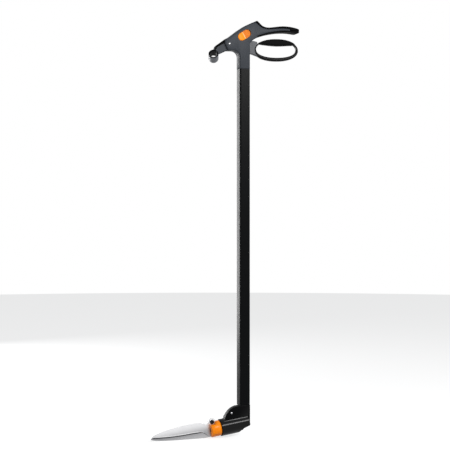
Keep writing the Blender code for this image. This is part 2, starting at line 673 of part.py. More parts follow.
RIM_CORNER = 1.6 * MM
RIM_STEPS = 32
loop_rim = swept_ring([rim_section(2 * pi * i / RIM_STEPS, LOOP_DEPTH / 2, RIM_CORNER)
                       for i in range(RIM_STEPS)])
loop_root = (LOOP_X - LOOP_HALF_WIDTH, LOOP_H)
hook = moved(points_mm([(-17.5, 15.2), (-17.5, 18), (-26, 18), (-27, 9.6)]), 0, TRIGGER_H)
lever_top = [(loop_root[0] - 1 * MM, BRACKET_TOP), (-22.5 * MM, BRACKET_TOP), (-22.5 * MM, hook[0][1])]
lever_under = moved(points_mm([(-26, -6.6), (-14, -7.6), (-9, -2.9), (9.6, -2.9)]), 0, TRIGGER_H)
lever_root = moved(points_mm([(-8, -12.3), (-0.5, -14.5), (8, -17.5), (8, 18.8)]), *loop_root)
lever_plate = (arc(TRIGGER_X, TRIGGER_H, LEVER_EYE_R, 90, 282, 12) + lever_under
               + [(HALF - 1.8 * MM, BRACKET_FOOT + 0.8 * MM), (HALF, BRACKET_FOOT)] + lever_root
               + lever_top + hook)
lever = add('trigger_lever', prism(lever_plate, -LEVER_DEPTH / 2, LEVER_DEPTH / 2, 0.8 * MM, 0.8 * MM, 1),
            handle, LEVER_GREY, PIVOT)
hole = [loop_point(2 * pi * i / RIM_STEPS, True, -0.8 * MM) for i in range(RIM_STEPS)]
cut(lever, prism(hole, -LEVER_DEPTH, LEVER_DEPTH))
join(lever, loop_rim)
cut(lever, at(pin(PIN_R + GAP, -HALF, HALF, 20), TRIGGER_X, z=TRIGGER_H))
rod_pin_h = TRIGGER_H + ROD_ARM * sin(TRIGGER_SWING / 2)
cut(lever, prism(moved(capsule(0, 0, 2 * SMALL_PIN_R + 1.6 * MM, 2 * SMALL_PIN_R + 2 * GAP, 0.0, 6),
                       -0.2 * MM, rod_pin_h), -HALF, HALF))

PAD_FROM, PAD_TO = radians(32), radians(140)


def pad_section(i, steps, hollow):
    """Section of the finger pad: a lens below the bar, a skin above it, or the bar's own tunnel."""
    share = i / steps
    angle = PAD_FROM + (PAD_TO - PAD_FROM) * share
    if hollow:
        return rim_section(angle, LOOP_DEPTH / 2 + GAP, RIM_CORNER, GAP, GAP)
    swell = sin(pi * share) ** 0.7
    half = LOOP_DEPTH / 2 + 1.2 * MM + (FINGER_PAD_DEPTH / 2 - LOOP_DEPTH / 2 - 1.2 * MM) * swell
    return rim_section(angle, half, 2.4 * MM, (0.9 + 0.3 * swell) * MM, 1.1 * MM + FINGER_PAD_THICK * swell)


PAD_STEPS = 12
pad = bmesh.new()
outer_loops = [[pad.verts.new(p) for p in pad_section(i, PAD_STEPS, False)] for i in range(PAD_STEPS + 1)]
inner_loops = [[pad.verts.new(p) for p in pad_section(i, PAD_STEPS, True)] for i in range(PAD_STEPS + 1)]
chain = outer_loops + inner_loops[::-1]
for low, high in zip(chain, chain[1:] + chain[:1]):
    for i in range(8):
        pad.faces.new((low[i], low[(i + 1) % 8], high[(i + 1) % 8], high[i]))
add('finger_pad', pad, handle, SOFT_BLACK, PIVOT)
for name, side in (('trigger_washer_near', -1), ('trigger_washer_far', 1)):
    add(name, at(washer(LEVER_EYE_R - MM, PIN_R + GAP, side * (ARM_DEPTH / 2 + GAP + 0.1 * MM),
                        side * (CAVITY_Y - 0.1 * MM)), TRIGGER_X, z=TRIGGER_H), handle, NATURAL_NYLON)

# Lock slider: a plate behind the housing's opening, with a thumb rest at its lower end
lock = frame('lock', handle, (LOCK_X, 0, LOCK_H), -LOCK_TILT)
plate_y1 = -CAVITY_Y + GAP
plate_y0 = plate_y1 + LOCK_PLATE
cover = LOCK_LENGTH + LOCK_TRAVEL + 2 * MM
plate = capsule(-LOCK_TRAVEL / 2, 0, cover, LOCK_WIDTH + 2 * PLATE_LAP, 0.0)
slider = add('lock_slider', prism(plate, plate_y1, plate_y0), lock, ORANGE)
rest_r = LOCK_WIDTH / 2 - GAP
rest_x = -(LOCK_LENGTH - LOCK_WIDTH) / 2
rest_end = -rest_x - LOCK_TRAVEL
thumb = arc(rest_x, 0, rest_r, 90, 270, 10) + [(rest_end, -rest_r), (rest_end, rest_r)]
join(slider, prism(thumb, -HALF - LOCK_PROUD, plate_y1 + MM, 2.2 * MM, 0, 3))
add('lock_tongue', prism(points_mm([(-24, -3), (-8, -3), (-8, 3), (-24, 3)]), plate_y0 + GAP,
                         -LEVER_DEPTH / 2 - 2 * GAP, 0.6 * MM, 0.6 * MM, 1), lock, STEEL)
leaf = moved(points_mm([(-15, 0), (15, 0), (15, 0.8), (5, 0.8), (0, 1.8), (-5, 0.8), (-15, 0.8)]),
             0, LOCK_WIDTH / 2 + PLATE_LAP + GAP)
add('lock_spring', prism(leaf, -CAVITY_Y + 0.4 * MM, -CAVITY_Y + 4 * MM), lock, STEEL)

# Push rod with its fork at the lever and its eye at the crank
rod_top = HANDLE_Z + rod_pin_h - 9 * MM
rod_eye_z = CRANK_Z + CRANK_ARM * sin(CRANK_REST)
fork_in = LEVER_DEPTH / 2 + GAP
fork_out = -plate_y0 - 1.2 * MM
add('push_rod', lathe([(rod_eye_z + ROD_EYE_R + GAP, 0), (rod_eye_z + ROD_EYE_R + GAP, ROD_R),
                       (rod_top - 6 * MM - GAP, ROD_R), (rod_top - 6 * MM - GAP, 0)], 12, 'Z'), tool, STEEL)
rod_fork = add('rod_fork', box(-5 * MM, 5 * MM, -fork_out, fork_out, rod_top - 16 * MM,
                               rod_top + 9 * MM + 5 * MM), tool, STEEL)
cut(rod_fork, box(-7 * MM, 7 * MM, -fork_in, fork_in, rod_top - 2 * MM, rod_top + 30 * MM))
cut(rod_fork, at(pin(ROD_R + GAP, -30 * MM, -6 * MM, 16, 'Z'), z=rod_top))
cut(rod_fork, at(pin(SMALL_PIN_R + SNUG, -HALF, HALF, 16), z=rod_top + 9 * MM))
add('rod_pin_upper', at(pin(SMALL_PIN_R, -fork_out - MM, fork_out + MM, 16), z=rod_top + 9 * MM), tool,
    STEEL)
eye_half = CRANK_SLOT / 2 - GAP
rod_eye = add('rod_eye', prism(circle(0, rod_eye_z, ROD_EYE_R, 20), -eye_half, eye_half), tool, STEEL)
join(rod_eye, box(-4.2 * MM, 4.2 * MM, -eye_half, eye_half, rod_eye_z, rod_eye_z + 20 * MM))
cut(rod_eye, at(pin(ROD_R + GAP, rod_eye_z + ROD_EYE_R, rod_eye_z + 30 * MM, 16, 'Z')))
cut(rod_eye, at(pin(SMALL_PIN_R + SNUG, -HALF, HALF, 16), z=rod_eye_z))
add('rod_pin_lower', at(pin(SMALL_PIN_R, -CRANK_DEPTH / 2 - MM, CRANK_DEPTH / 2 + MM, 16), z=rod_eye_z),
    tool, STEEL)

# Guides, return spring and its collar inside the tube
guide_size = 2 * (INNER_HALF - GAP)


def guide(z):
    outer = rounded_rectangle(guide_size, guide_size, TUBE_CORNER - TUBE_WALL, 4)
    bore = circle(0, 0, ROD_R + GAP, len(outer))
    turned_bore = [bore[(i + len(outer) // 20) % len(outer)] for i in range(len(outer))]
    bm = bmesh.new()
    rings = [[bm.verts.new((x, y, h)) for x, y in loop] for loop, h in (
        (outer, z), (outer, z + GUIDE_HEIGHT), (turned_bore, z + GUIDE_HEIGHT), (turned_bore, z))]
    for low, high in zip(rings, rings[1:] + rings[:1]):
        for i in range(len(low)):
            j = (i + 1) % len(low)
            bm.faces.new((low[i], low[j], high[j], high[i]))
    return bm


guide_heights = [FOOT_TOP + TUBE_LENGTH * share for share in GUIDE_PLACES]
stop_z = HANDLE_Z - SPIGOT_LENGTH - GUIDE_HEIGHT - GAP
for i, z in enumerate(guide_heights + [stop_z]):
    add(f'rod_guide_{i + 1}', guide(z), tool, NATURAL_NYLON)


def coil(z0, z1, turns, radius, wire):
    """An open helix of round wire with closed ends."""
    steps = turns * 6
    rings = []
    for i in range(steps + 1):
        a = 2 * pi * turns * i / steps
        z = z0 + wire + (z1 - z0 - 2 * wire) * i / steps
        out = Vector((cos(a), sin(a), 0))
        rings.append([tuple(out * (radius + wire * cos(b)) + Vector((0, 0, z + wire * sin(b))))
                      for b in (2 * pi * k / 4 for k in range(4))])
    return layers(rings)


spring_top = stop_z - GAP
add('return_spring', coil(spring_top - SPRING_LENGTH, spring_top, SPRING_TURNS, SPRING_R, SPRING_WIRE_R),
    tool, STEEL)
collar_z = spring_top - SPRING_LENGTH - GAP
add('spring_collar', washer(SPRING_R + 2 * MM, ROD_R + SNUG, collar_z - 6 * MM, collar_z, 16, 'Z'),
    tool, DARK_STEEL)


# Foot shells: a quarter disc that runs into a barrel on the swivel axis
def axis_point(out, up):
    """A point of the head's frame in the tool's frame."""
    return (-out * cos(HEAD_TILT) - up * sin(HEAD_TILT), -out * sin(HEAD_TILT) + up * cos(HEAD_TILT))


disc_arc = arc(DISC_X, DISC_Z, DISC_R, 91, 180, 12)
disc_screw = arc(DISC_X, DISC_Z, DISC_R - 7.7 * MM, 160, 180, 1)[0]
foot_outline = ([(-HALF, FOOT_TOP)] + disc_arc + [axis_point(BARREL_FRONT - 3 * MM, -2 * MM)]
                + [axis_point(BORE_BACK, -2 * MM), (HALF, 0), (HALF, FOOT_TOP)])
foot_screws = [disc_screw, (HALF - 5.6 * MM, 12.5 * MM), axis_point(30 * MM, 3.2 * MM - BARREL_R)]
BARREL_STEPS = 28


def along_axis(bm):
    """Turned pieces are drawn outward; this lays them along the swivel axis in the tool's frame."""
    bm.transform(Matrix.Rotation(pi, 4, 'Z'))
    bm.transform(Matrix.Rotation(-HEAD_TILT, 4, 'Y'))
    return bm


heel = outward([(20.5 * MM, -BARREL_R - 2 * MM), (12.6 * MM, -BARREL_R * 0.67), (10 * MM, -BARREL_R * 0.67),
                (6.2 * MM, -BARREL_R * 0.47), (BARREL_BACK - 9 * MM, -2.2 * MM),
                (BARREL_BACK - 9 * MM, -BARREL_R - 9 * MM), (21 * MM, -BARREL_R - 9 * MM)])
HEEL_SEAT = 6.2 * MM


def foot_shell(name, side):
    shell = add(name, prism(foot_outline, side * HALF, side * PART_Y, EDGE_ROUND * 0.5, 0, 2), tool,
                BLACK_PLASTIC)
    chamfer = 1.2 * MM
    barrel = along_axis(lathe([(BARREL_BACK, 0), (BARREL_BACK, BARREL_R - 2.4 * MM),
                               (BARREL_BACK + 2.4 * MM, BARREL_R), (BARREL_FRONT - chamfer, BARREL_R),
                               (BARREL_FRONT, BARREL_R - chamfer), (BARREL_FRONT, 0)], BARREL_STEPS))
    join(shell, spigot(side, FOOT_TOP - 2 * MM, FOOT_TOP + SPIGOT_LENGTH))
    join(shell, barrel)
    past = side * -BARREL_R * 2
    cut(shell, box(-DISC_R * 3, DISC_R * 3, side * PART_Y, past, -DISC_R * 2, FOOT_TOP * 4))
    cut(shell, prism(inset(foot_outline, WALL), side * CAVITY_Y, -side * MM))
    cut(shell, along_axis(pin(BARREL_BORE_R, BORE_BACK, BARREL_FRONT + MM, 24, 'X')))
    bore = INNER_HALF - GAP - SPIGOT_WALL
    cut(shell, box(-bore, bore, side * bore, -side * MM, FOOT_TOP - WALL - 2 * MM,
                   FOOT_TOP + SPIGOT_LENGTH + MM))
    join(shell, *[prism(circle(x, z, BOSS_R, 12), side * (HALF - 1.5 * MM), side * BOSS_Y)
                  for x, z in foot_screws[:2]])
    heel_cut = prism(heel, -BARREL_R * 2, BARREL_R * 2)
    heel_cut.transform(Matrix.Rotation(-HEAD_TILT, 4, 'Y'))
    cut(shell, heel_cut)
    cut(shell, *[at(pin(SCREW_R + SCREW_PLAY, side * SCREW_REACH, -side * MM, 8), x, z=z)
                 for x, z in foot_screws])
    cut(shell, at(pin(PIN_R + GAP, side * (HALF + 2 * MM), -side * MM, 12), CRANK_X, z=CRANK_Z))
    cut(shell, at(pin(SCREW_R + SCREW_PLAY, 0, HALF + MM, 8, 'X'), z=FOOT_TOP + TUBE_SCREW_INSET))
    pocket = at(pin(DETENT_R + 0.5 * MM, -DETENT_END, -BARREL_BORE_R + MM, 12, 'Z'), -DETENT_OUT)
    pocket.transform(Matrix.Rotation(-HEAD_TILT, 4, 'Y'))
    cut(shell, pocket)
    return shell


DETENT_OUT = BARREL_FRONT - 11.2 * MM
DETENT_R = 2 * MM
DETENT_END = BARREL_R - 1.4 * MM
near_foot = foot_shell('foot_shell_near', -1)
far_foot = foot_shell('foot_shell_far', 1)
foot_seats = (HALF - SCREW_SINK, HALF - SCREW_SINK, HEEL_SEAT)
for i, (place, seat) in enumerate(zip(foot_screws, foot_seats)):
    cut(far_foot, at(pin(SCREW_HEAD_R + GAP, HALF + 12 * MM, seat, 16), place[0], z=place[1]))
    housing_screw(f'foot_screw_{i + 1}', place, seat, tool)

# Bell crank: two plates on a hub, an arm to the rod and a fork on the drive rod's spool
crank_eye = (CRANK_X + CRANK_ARM * cos(CRANK_REST), CRANK_Z + CRANK_ARM * sin(CRANK_REST))
fork_turn = HEAD_TILT + CRANK_REST
crank_fork = (CRANK_X + CRANK_DROP * sin(fork_turn), CRANK_Z - CRANK_DROP * cos(fork_turn))
PRONG_R = SPOOL_GROOVE / 2 - 0.35 * MM
hub_at = (CRANK_X, CRANK_Z)
half_crank = CRANK_DEPTH / 2
CRANK_AXIS = (CRANK_X, 0, CRANK_Z)
crank = add('bell_crank', prism(link(hub_at, CRANK_HUB_R, crank_eye, ROD_EYE_R), -half_crank, half_crank),
            tool, DARK_STEEL, CRANK_AXIS)
NECK_R = 2.2 * MM
NECK_LENGTH = 7 * MM
prong = (arc(0, 0, CRANK_HUB_R - 0.2 * MM, 90, 270, 10) + [(CRANK_DROP - NECK_LENGTH, -NECK_R)]
         + arc(CRANK_DROP, 0, PRONG_R, -105, 105, 8) + [(CRANK_DROP - NECK_LENGTH, NECK_R)])
prong_way = Vector((sin(fork_turn), -cos(fork_turn)))
prong = [(CRANK_X + x * prong_way.x - h * prong_way.y, CRANK_Z + x * prong_way.y + h * prong_way.x)
         for x, h in prong]
join(crank, prism(prong, -half_crank + 0.05 * MM, half_crank - 0.05 * MM))


def arm_slot(end, reach, half_width):
    """The room between the crank's plates along one arm, from just off the hub to past its end."""
    way = Vector((end[0] - CRANK_X, end[1] - CRANK_Z)).normalized()
    side = Vector((-way.y, way.x))
    start = Vector(hub_at) + way * (CRANK_HUB_R + MM)
    stop = Vector(end) + way * reach
    corners = [start + side * half_width, start - side * half_width, stop - side * half_width,
               stop + side * half_width]
    return prism([tuple(c) for c in corners], -CRANK_SLOT / 2, CRANK_SLOT / 2)


cut(crank, arm_slot(crank_eye, ROD_EYE_R + 2 * MM, CRANK_HUB_R + MM),
    arm_slot(crank_fork, PRONG_R + 2 * MM, CRANK_HUB_R + MM))
cut(crank, at(pin(PIN_R + GAP, -HALF, HALF, 20), CRANK_X, z=CRANK_Z))
eye_slot = capsule(0, 0, 2 * SMALL_PIN_R + 1.8 * MM, 2 * SMALL_PIN_R + 2 * GAP, CRANK_REST, 6)
cut(crank, prism(moved(eye_slot, *crank_eye), -HALF, HALF))
pivot_pin('crank_pin', CRANK_X, CRANK_Z, 3.6 * MM, tool)
for name, side in (('crank_washer_near', -1), ('crank_washer_far', 1)):
    add(name, at(washer(CRANK_HUB_R - MM, PIN_R + GAP, side * (half_crank + 0.25 * MM),
                        side * (CAVITY_Y - 0.25 * MM)), CRANK_X, z=CRANK_Z), tool, NATURAL_NYLON)


# Swivel: all of these are drawn outward along the swivel axis
def turned(profile, steps=28, closed=False):
    bm = lathe(profile, steps, 'X', closed)
    bm.transform(Matrix.Rotation(pi, 4, 'Z'))
    return bm


RING_OUT = SPINDLE_BACK + 0.6 * MM
RING_THICK = 1.2 * MM
groove_r = SPINDLE_R - 1.6 * MM
collar_bore_r = SPINDLE_R - 2.7 * MM
spindle_profile = [
    (SPINDLE_BACK, SPINDLE_BORE_R), (SPINDLE_BACK, SPINDLE_R), (RING_OUT - SNUG, SPINDLE_R),
    (RING_OUT - SNUG, groove_r), (RING_OUT + RING_THICK + SNUG, groove_r),
    (RING_OUT + RING_THICK + SNUG, SPINDLE_R), (BARREL_FRONT - GAP, SPINDLE_R),
    (BARREL_FRONT - GAP, collar_bore_r - GAP), (COLLAR_BACK + COLLAR_DISC - GAP, collar_bore_r - GAP),
    (COLLAR_BACK + COLLAR_DISC - GAP, SPINDLE_BORE_R)]
spindle = add('swivel_spindle', turned(spindle_profile, 20, True), head, BLACK_PLASTIC)


def ball(steps, slices):
    """A ball of the detent's size on the origin."""
    turns = [pi * i / slices for i in range(1, slices)]
    return lathe([(-DETENT_R, 0)] + [(-DETENT_R * cos(a), DETENT_R * sin(a)) for a in turns]
                 + [(DETENT_R, 0)], steps, 'Z')


for turn in (0, pi / 2):
    dimple = at(ball(10, 4), -DETENT_OUT, 0, -SPINDLE_R - DETENT_R * 0.6)
    dimple.transform(Matrix.Rotation(-turn, 4, 'X'))
    cut(spindle, dimple)
add('retaining_ring', turned([(RING_OUT, groove_r + 0.1 * MM), (RING_OUT, BARREL_BORE_R - 0.5 * MM),
                              (RING_OUT + RING_THICK, BARREL_BORE_R - 0.5 * MM),
                              (RING_OUT + RING_THICK, groove_r + 0.1 * MM)], 20, True), head, STEEL)
for name, start, end in (('swivel_bush_rear', RING_OUT + RING_THICK + GAP, DETENT_OUT - 2.8 * MM),
                         ('swivel_bush_front', DETENT_OUT + 2.8 * MM, BARREL_FRONT - 0.8 * MM)):
    add(name, turned([(start, SPINDLE_R + GAP), (start, BARREL_BORE_R - GAP), (end, BARREL_BORE_R - GAP),
                      (end, SPINDLE_R + GAP)], 16, True), head, NATURAL_NYLON)
ball_t = -(SPINDLE_R + GAP + DETENT_R)
add('detent_ball', at(ball(8, 6), -DETENT_OUT, 0, ball_t), head, STEEL)
detent_coil = coil(-DETENT_END + GAP, ball_t - DETENT_R - 0.2 * MM, 3, 1.6 * MM, 0.35 * MM)
add('detent_spring', at(detent_coil, -DETENT_OUT), head, STEEL)

# Collar: a disc behind, two cheeks ahead, a slot for the blades and a notch for their hub
SLOT_NEAR = -BLADE_THICK - 0.6 * MM
SLOT_FAR = BLADE_THICK + 0.3 * MM
NOTCH_OUT = PIVOT_OUT - BOLT_HEAD_R - 1.2 * MM
NOTCH_UP = PIVOT_UP - BOLT_HEAD_R - 0.5 * MM
FORK_HALF_Y = 6.4 * MM
FORK_HALF_UP = 4.5 * MM
HEEL_ROOM = 1.6 * MM
lip = 1 * MM
collar = add('swivel_collar', turned([(COLLAR_BACK, 0), (COLLAR_BACK, COLLAR_R - lip),
                                      (COLLAR_BACK + lip, COLLAR_R), (COLLAR_FRONT - lip, COLLAR_R),
                                      (COLLAR_FRONT, COLLAR_R - lip), (COLLAR_FRONT, 0)], 36), head, ORANGE)
far_out = COLLAR_FRONT + 4 * MM
cheek_start = COLLAR_BACK + COLLAR_DISC
cut(collar, box(-far_out, -cheek_start, SLOT_NEAR, SLOT_FAR, -COLLAR_R * 2, COLLAR_R * 2))
cut(collar, box(-far_out, -NOTCH_OUT, -COLLAR_R * 2, COLLAR_R * 2, NOTCH_UP, COLLAR_R * 2))
cut(collar, box(-far_out, -cheek_start, -FORK_HALF_Y - 0.6 * MM, FORK_HALF_Y + 0.6 * MM,
                -FORK_HALF_UP - 0.6 * MM, FORK_HALF_UP + 0.6 * MM))
cut(collar, turned([(COLLAR_BACK - MM, 0), (COLLAR_BACK - MM, collar_bore_r),
                    (cheek_start + 0.5 * MM, collar_bore_r), (cheek_start + 0.5 * MM, 0)], 28))
pin_out = COLLAR_BACK + COLLAR_DISC / 2
PIN_SMALL = 1.2 * MM
cut(collar, at(pin(PIN_SMALL + SNUG, 0, COLLAR_R * 1.2, 10), -pin_out))
cut(spindle, at(pin(PIN_SMALL + SNUG, 0, COLLAR_R * 1.2, 10), -pin_out))
add('collar_pin', at(pin(PIN_SMALL, SPINDLE_BORE_R + 0.4 * MM, COLLAR_R - 1.2 * MM, 10), -pin_out), head,
    STEEL)
RIVETS = [(COLLAR_FRONT - 16.6 * MM, 7 * MM - COLLAR_R), (COLLAR_FRONT - 11.4 * MM, 5.9 * MM - COLLAR_R)]
RIVET_R = 1.5 * MM
cut(collar, *[at(pin(RIVET_R + GAP, -COLLAR_R * 1.2, COLLAR_R * 1.2, 12), -s, z=t) for s, t in RIVETS])

# Drive rod: spool at the crank, fork round the blades
pin_rest = PIVOT_OUT - PIN_ARM * sin(BLADE_SWING / 2)
groove0, groove1 = SPOOL_OUT - SPOOL_GROOVE / 2, SPOOL_OUT + SPOOL_GROOVE / 2
fork_start = COLLAR_BACK + COLLAR_DISC + 2 * GAP
fork_end = pin_rest + FORK_HALF_UP
drive = add('drive_rod', turned([
    (groove0 - FLANGE, 0), (groove0 - FLANGE, SPOOL_R), (groove0, SPOOL_R), (groove0, DRIVE_R),
    (groove1, DRIVE_R), (groove1, SPOOL_R), (groove1 + FLANGE, SPOOL_R), (groove1 + FLANGE, DRIVE_R),
    (fork_start + MM, DRIVE_R), (fork_start + MM, 0)], 20), head, STEEL, (-pin_rest, 0, 0))
join(drive, box(-fork_end, -fork_start, -FORK_HALF_Y, FORK_HALF_Y, -FORK_HALF_UP, FORK_HALF_UP))
cut(drive, box(-fork_end - MM, HUB_R + HEEL_ROOM - PIVOT_OUT, SLOT_NEAR - GAP, SLOT_FAR + GAP,
               -FORK_HALF_UP * 2, FORK_HALF_UP * 2))
cut(drive, at(pin(SMALL_PIN_R + SNUG, -HALF, HALF, 16), -pin_rest))
add('drive_pin', at(pin(SMALL_PIN_R, -FORK_HALF_Y - GAP, FORK_HALF_Y + GAP, 16), -pin_rest), head, STEEL,
    (-pin_rest, 0, 0))

# Blades
def blade_points(pairs):
    """Points of a blade: shares of its length past the pivot and of its width, from the swivel axis."""
    return [(PIVOT_OUT + (BLADE_TIP - PIVOT_OUT) * s, BLADE_WIDTH * t) for s, t in pairs]


def blade(outline, edge, shear_y, outer_y):
    """A flat blade whose cutting edge is ground back on its outer face."""
    land = shear_y + (outer_y - shear_y) * 0.2
    ground = []
    for i, (s, t) in enumerate(outline):
        share = edge.get(i, 0.0)
        ground.append((s, t + GRIND * share))
    rings = [(shear_y, outline), (land, outline), (outer_y, ground)]
    return layers([[(-s, y, t) for s, t in ring] for y, ring in rings])


moving_edge = blade_points([(0.166, -0.08), (0.243, -0.063), (0.32, -0.043), (0.406, -0.034),
                            (0.496, -0.022),
                            (0.637, 0.015), (0.762, 0.063), (0.887, 0.13), (0.956, 0.179), (0.991, 0.21)])
moving_back = smooth(blade_points([(1.0, 0.246), (0.975, 0.324), (0.925, 0.387), (0.825, 0.469),
                                   (0.673, 0.539),
                                   (0.474, 0.577), (0.298, 0.57), (0.181, 0.522), (0.128, 0.459)]), 2)
moving_hub = arc(PIVOT_OUT, PIVOT_UP, HUB_R, -14, 206, 11)
moving_outline = (moving_edge + moving_back + blade_points([(0.113, 0.396)]) + moving_hub
                  + blade_points([(-0.05, 0.17), (-0.055, 0.05), (-0.055, -0.072), (-0.046, -0.145), (0.006, -0.304),
                                  (0.068, -0.396)]))
edge_share = {i: 1.0 for i in range(len(moving_edge))}
edge_share[0], edge_share[len(moving_edge) - 1] = 0.55, 0.5
MOVING_SHEAR = -0.15 * MM
FIXED_SHEAR = 0.15 * MM
PIVOT_AT = (-PIVOT_OUT, 0, PIVOT_UP)
pin_up = PIVOT_UP - PIN_ARM * cos(BLADE_SWING / 2)
near_face = MOVING_SHEAR - BLADE_THICK
far_face = FIXED_SHEAR + BLADE_THICK
moving = add('moving_blade', blade(moving_outline, edge_share, MOVING_SHEAR, near_face), head, BLADE_STEEL,
             PIVOT_AT)
cut(moving, at(pin(BOLT_R + GAP, -HALF, HALF, 20), -PIVOT_OUT, z=PIVOT_UP))
slot_turn = pi / 2 - BLADE_SWING / 2
cut(moving, prism(capsule(-pin_rest, pin_up, 2 * SMALL_PIN_R + 2.4 * MM, 2 * SMALL_PIN_R + 0.9 * MM,
                          slot_turn, 6), -HALF, HALF))

fixed_edge = blade_points([(0.988, 0.232), (0.956, 0.246), (0.887, 0.241), (0.762, 0.217),
                           (0.637, 0.188), (0.496, 0.164),
                           (0.32, 0.145), (0.181, 0.13)])
fixed_lower = smooth(blade_points([(0.087, -0.42), (0.137, -0.423), (0.322, -0.336), (0.481, -0.256),
                                   (0.63, -0.174),
                                   (0.769, -0.087), (0.873, -0.01), (0.944, 0.056), (0.99, 0.121)]), 2)
fixed_hub = arc(PIVOT_OUT, PIVOT_UP, HUB_R - 0.6 * MM, 0, 220, 11)
window = FORK_HALF_UP + 0.7 * MM
blade_back = cheek_start + 2 * GAP
window_end = PIVOT_OUT + PIN_ARM * sin(BLADE_SWING / 2) + SMALL_PIN_R + 1.2 * MM
fixed_outline = (blade_points([(0.998, 0.184)]) + fixed_edge + blade_points([(0.112, 0.217)]) + fixed_hub
                 + [(PIVOT_OUT - HUB_R + GAP, window), (window_end - 3 * MM, window),
                    (window_end, window - 3 * MM), (window_end, 3 * MM - window),
                    (window_end - 3 * MM, -window), (blade_back, -window), (blade_back, 3.1 * MM - COLLAR_R),
                    (COLLAR_FRONT - 13 * MM, 1.9 * MM - COLLAR_R)]
                 + fixed_lower)
fixed_share = {i: -1.0 for i in range(1, len(fixed_edge) + 1)}
fixed_share[1], fixed_share[len(fixed_edge)] = -0.4, -0.6
fixed = add('fixed_blade', blade(fixed_outline, fixed_share, FIXED_SHEAR, far_face), head, BLADE_STEEL)
cut(fixed, at(pin(BOLT_R + GAP, -HALF, HALF, 20), -PIVOT_OUT, z=PIVOT_UP))
cut(fixed, *[at(pin(RIVET_R + GAP, -HALF, HALF, 12), -s, z=t) for s, t in RIVETS])


def chord(t):
    """Half depth of the collar at a height on it."""
    return sqrt(COLLAR_R ** 2 - t ** 2)


for i, (s, t) in enumerate(RIVETS):
    end = chord(t) - 1.5 * MM
    add(f'blade_rivet_{i + 1}', at(pin(RIVET_R, -end, end, 12), -s, z=t), head, STEEL)

# Pivot: bolt from the near side, washers on both faces, nut behind
WASHER = 0.8 * MM
bolt_seat = near_face - 2 * GAP - WASHER
nut_seat = far_face + 2 * GAP + WASHER
NUT_THICK = 4 * MM
NUT_R = 6.2 * MM
add('pivot_bolt', at(pin(BOLT_R, bolt_seat, nut_seat + NUT_THICK + 1.6 * MM, 20, 'Y', BOLT_HEAD_R, 2 * MM,
                         1.2 * MM), -PIVOT_OUT, z=PIVOT_UP), head, DARK_STEEL, PIVOT_AT)
for name, face, way in (('pivot_washer_near', near_face, -1), ('pivot_washer_far', far_face, 1)):
    start = face + way * GAP
    add(name, at(washer(BOLT_HEAD_R - 0.2 * MM, BOLT_R + SNUG, start, start + way * WASHER), -PIVOT_OUT,
                 z=PIVOT_UP), head, STEEL)
hexagon = circle(0, 0, NUT_R, 6)
nut = add('pivot_nut', at(prism(hexagon, nut_seat + 0.1 * MM, nut_seat + NUT_THICK, 0.5 * MM, 0.5 * MM, 1),
                          -PIVOT_OUT, z=PIVOT_UP), head, DARK_STEEL)
cut(nut, at(pin(BOLT_R + SNUG, -HALF * 2, HALF * 2, 20), -PIVOT_OUT, z=PIVOT_UP))
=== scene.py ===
import json
from math import cos, pi, radians, sin

import bpy
import bmesh
from mathutils import Matrix, Vector


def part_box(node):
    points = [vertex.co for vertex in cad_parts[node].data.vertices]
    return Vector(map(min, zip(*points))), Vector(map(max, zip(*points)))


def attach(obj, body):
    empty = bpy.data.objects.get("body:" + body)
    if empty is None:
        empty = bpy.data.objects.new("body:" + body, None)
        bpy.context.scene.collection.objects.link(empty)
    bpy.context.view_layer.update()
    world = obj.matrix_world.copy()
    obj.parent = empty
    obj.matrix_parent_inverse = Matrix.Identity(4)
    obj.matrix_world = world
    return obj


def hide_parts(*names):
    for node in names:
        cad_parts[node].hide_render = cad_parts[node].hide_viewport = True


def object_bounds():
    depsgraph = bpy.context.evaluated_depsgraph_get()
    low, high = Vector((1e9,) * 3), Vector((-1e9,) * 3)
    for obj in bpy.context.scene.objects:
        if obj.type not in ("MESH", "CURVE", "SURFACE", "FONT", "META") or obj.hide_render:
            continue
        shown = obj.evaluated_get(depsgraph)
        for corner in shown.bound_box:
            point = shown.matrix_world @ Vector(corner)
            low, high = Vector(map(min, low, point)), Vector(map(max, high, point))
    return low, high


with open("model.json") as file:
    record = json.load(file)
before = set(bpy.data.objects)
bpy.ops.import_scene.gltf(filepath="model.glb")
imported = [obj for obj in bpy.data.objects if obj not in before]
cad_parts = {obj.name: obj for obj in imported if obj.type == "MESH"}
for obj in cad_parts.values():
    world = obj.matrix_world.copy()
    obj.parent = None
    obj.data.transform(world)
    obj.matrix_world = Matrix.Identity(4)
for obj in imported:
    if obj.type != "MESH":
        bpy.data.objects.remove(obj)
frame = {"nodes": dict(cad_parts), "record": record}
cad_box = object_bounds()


# Square tube
# A drawn aluminium box section, anodised black, that joins the handle to the foot.
# It is slid over a square spigot of each housing and held by one screw at each end.
MM = 0.001
TUBE_CORNER = 3.6 * MM
TUBE_WALL = 1.6 * MM
TUBE_BLACK = (0.0014, 0.0017, 0.002)


def put(tree, kind, sockets=(), **settings):
    """A new node with its settings, whose inputs are given values or links."""
    node = tree.nodes.new(kind)
    for key, value in settings.items():
        setattr(node, key, value)
    for key, value in dict(sockets).items():
        if isinstance(value, bpy.types.NodeSocket):
            tree.links.new(value, node.inputs[key])
        else:
            node.inputs[key].default_value = value
    return node


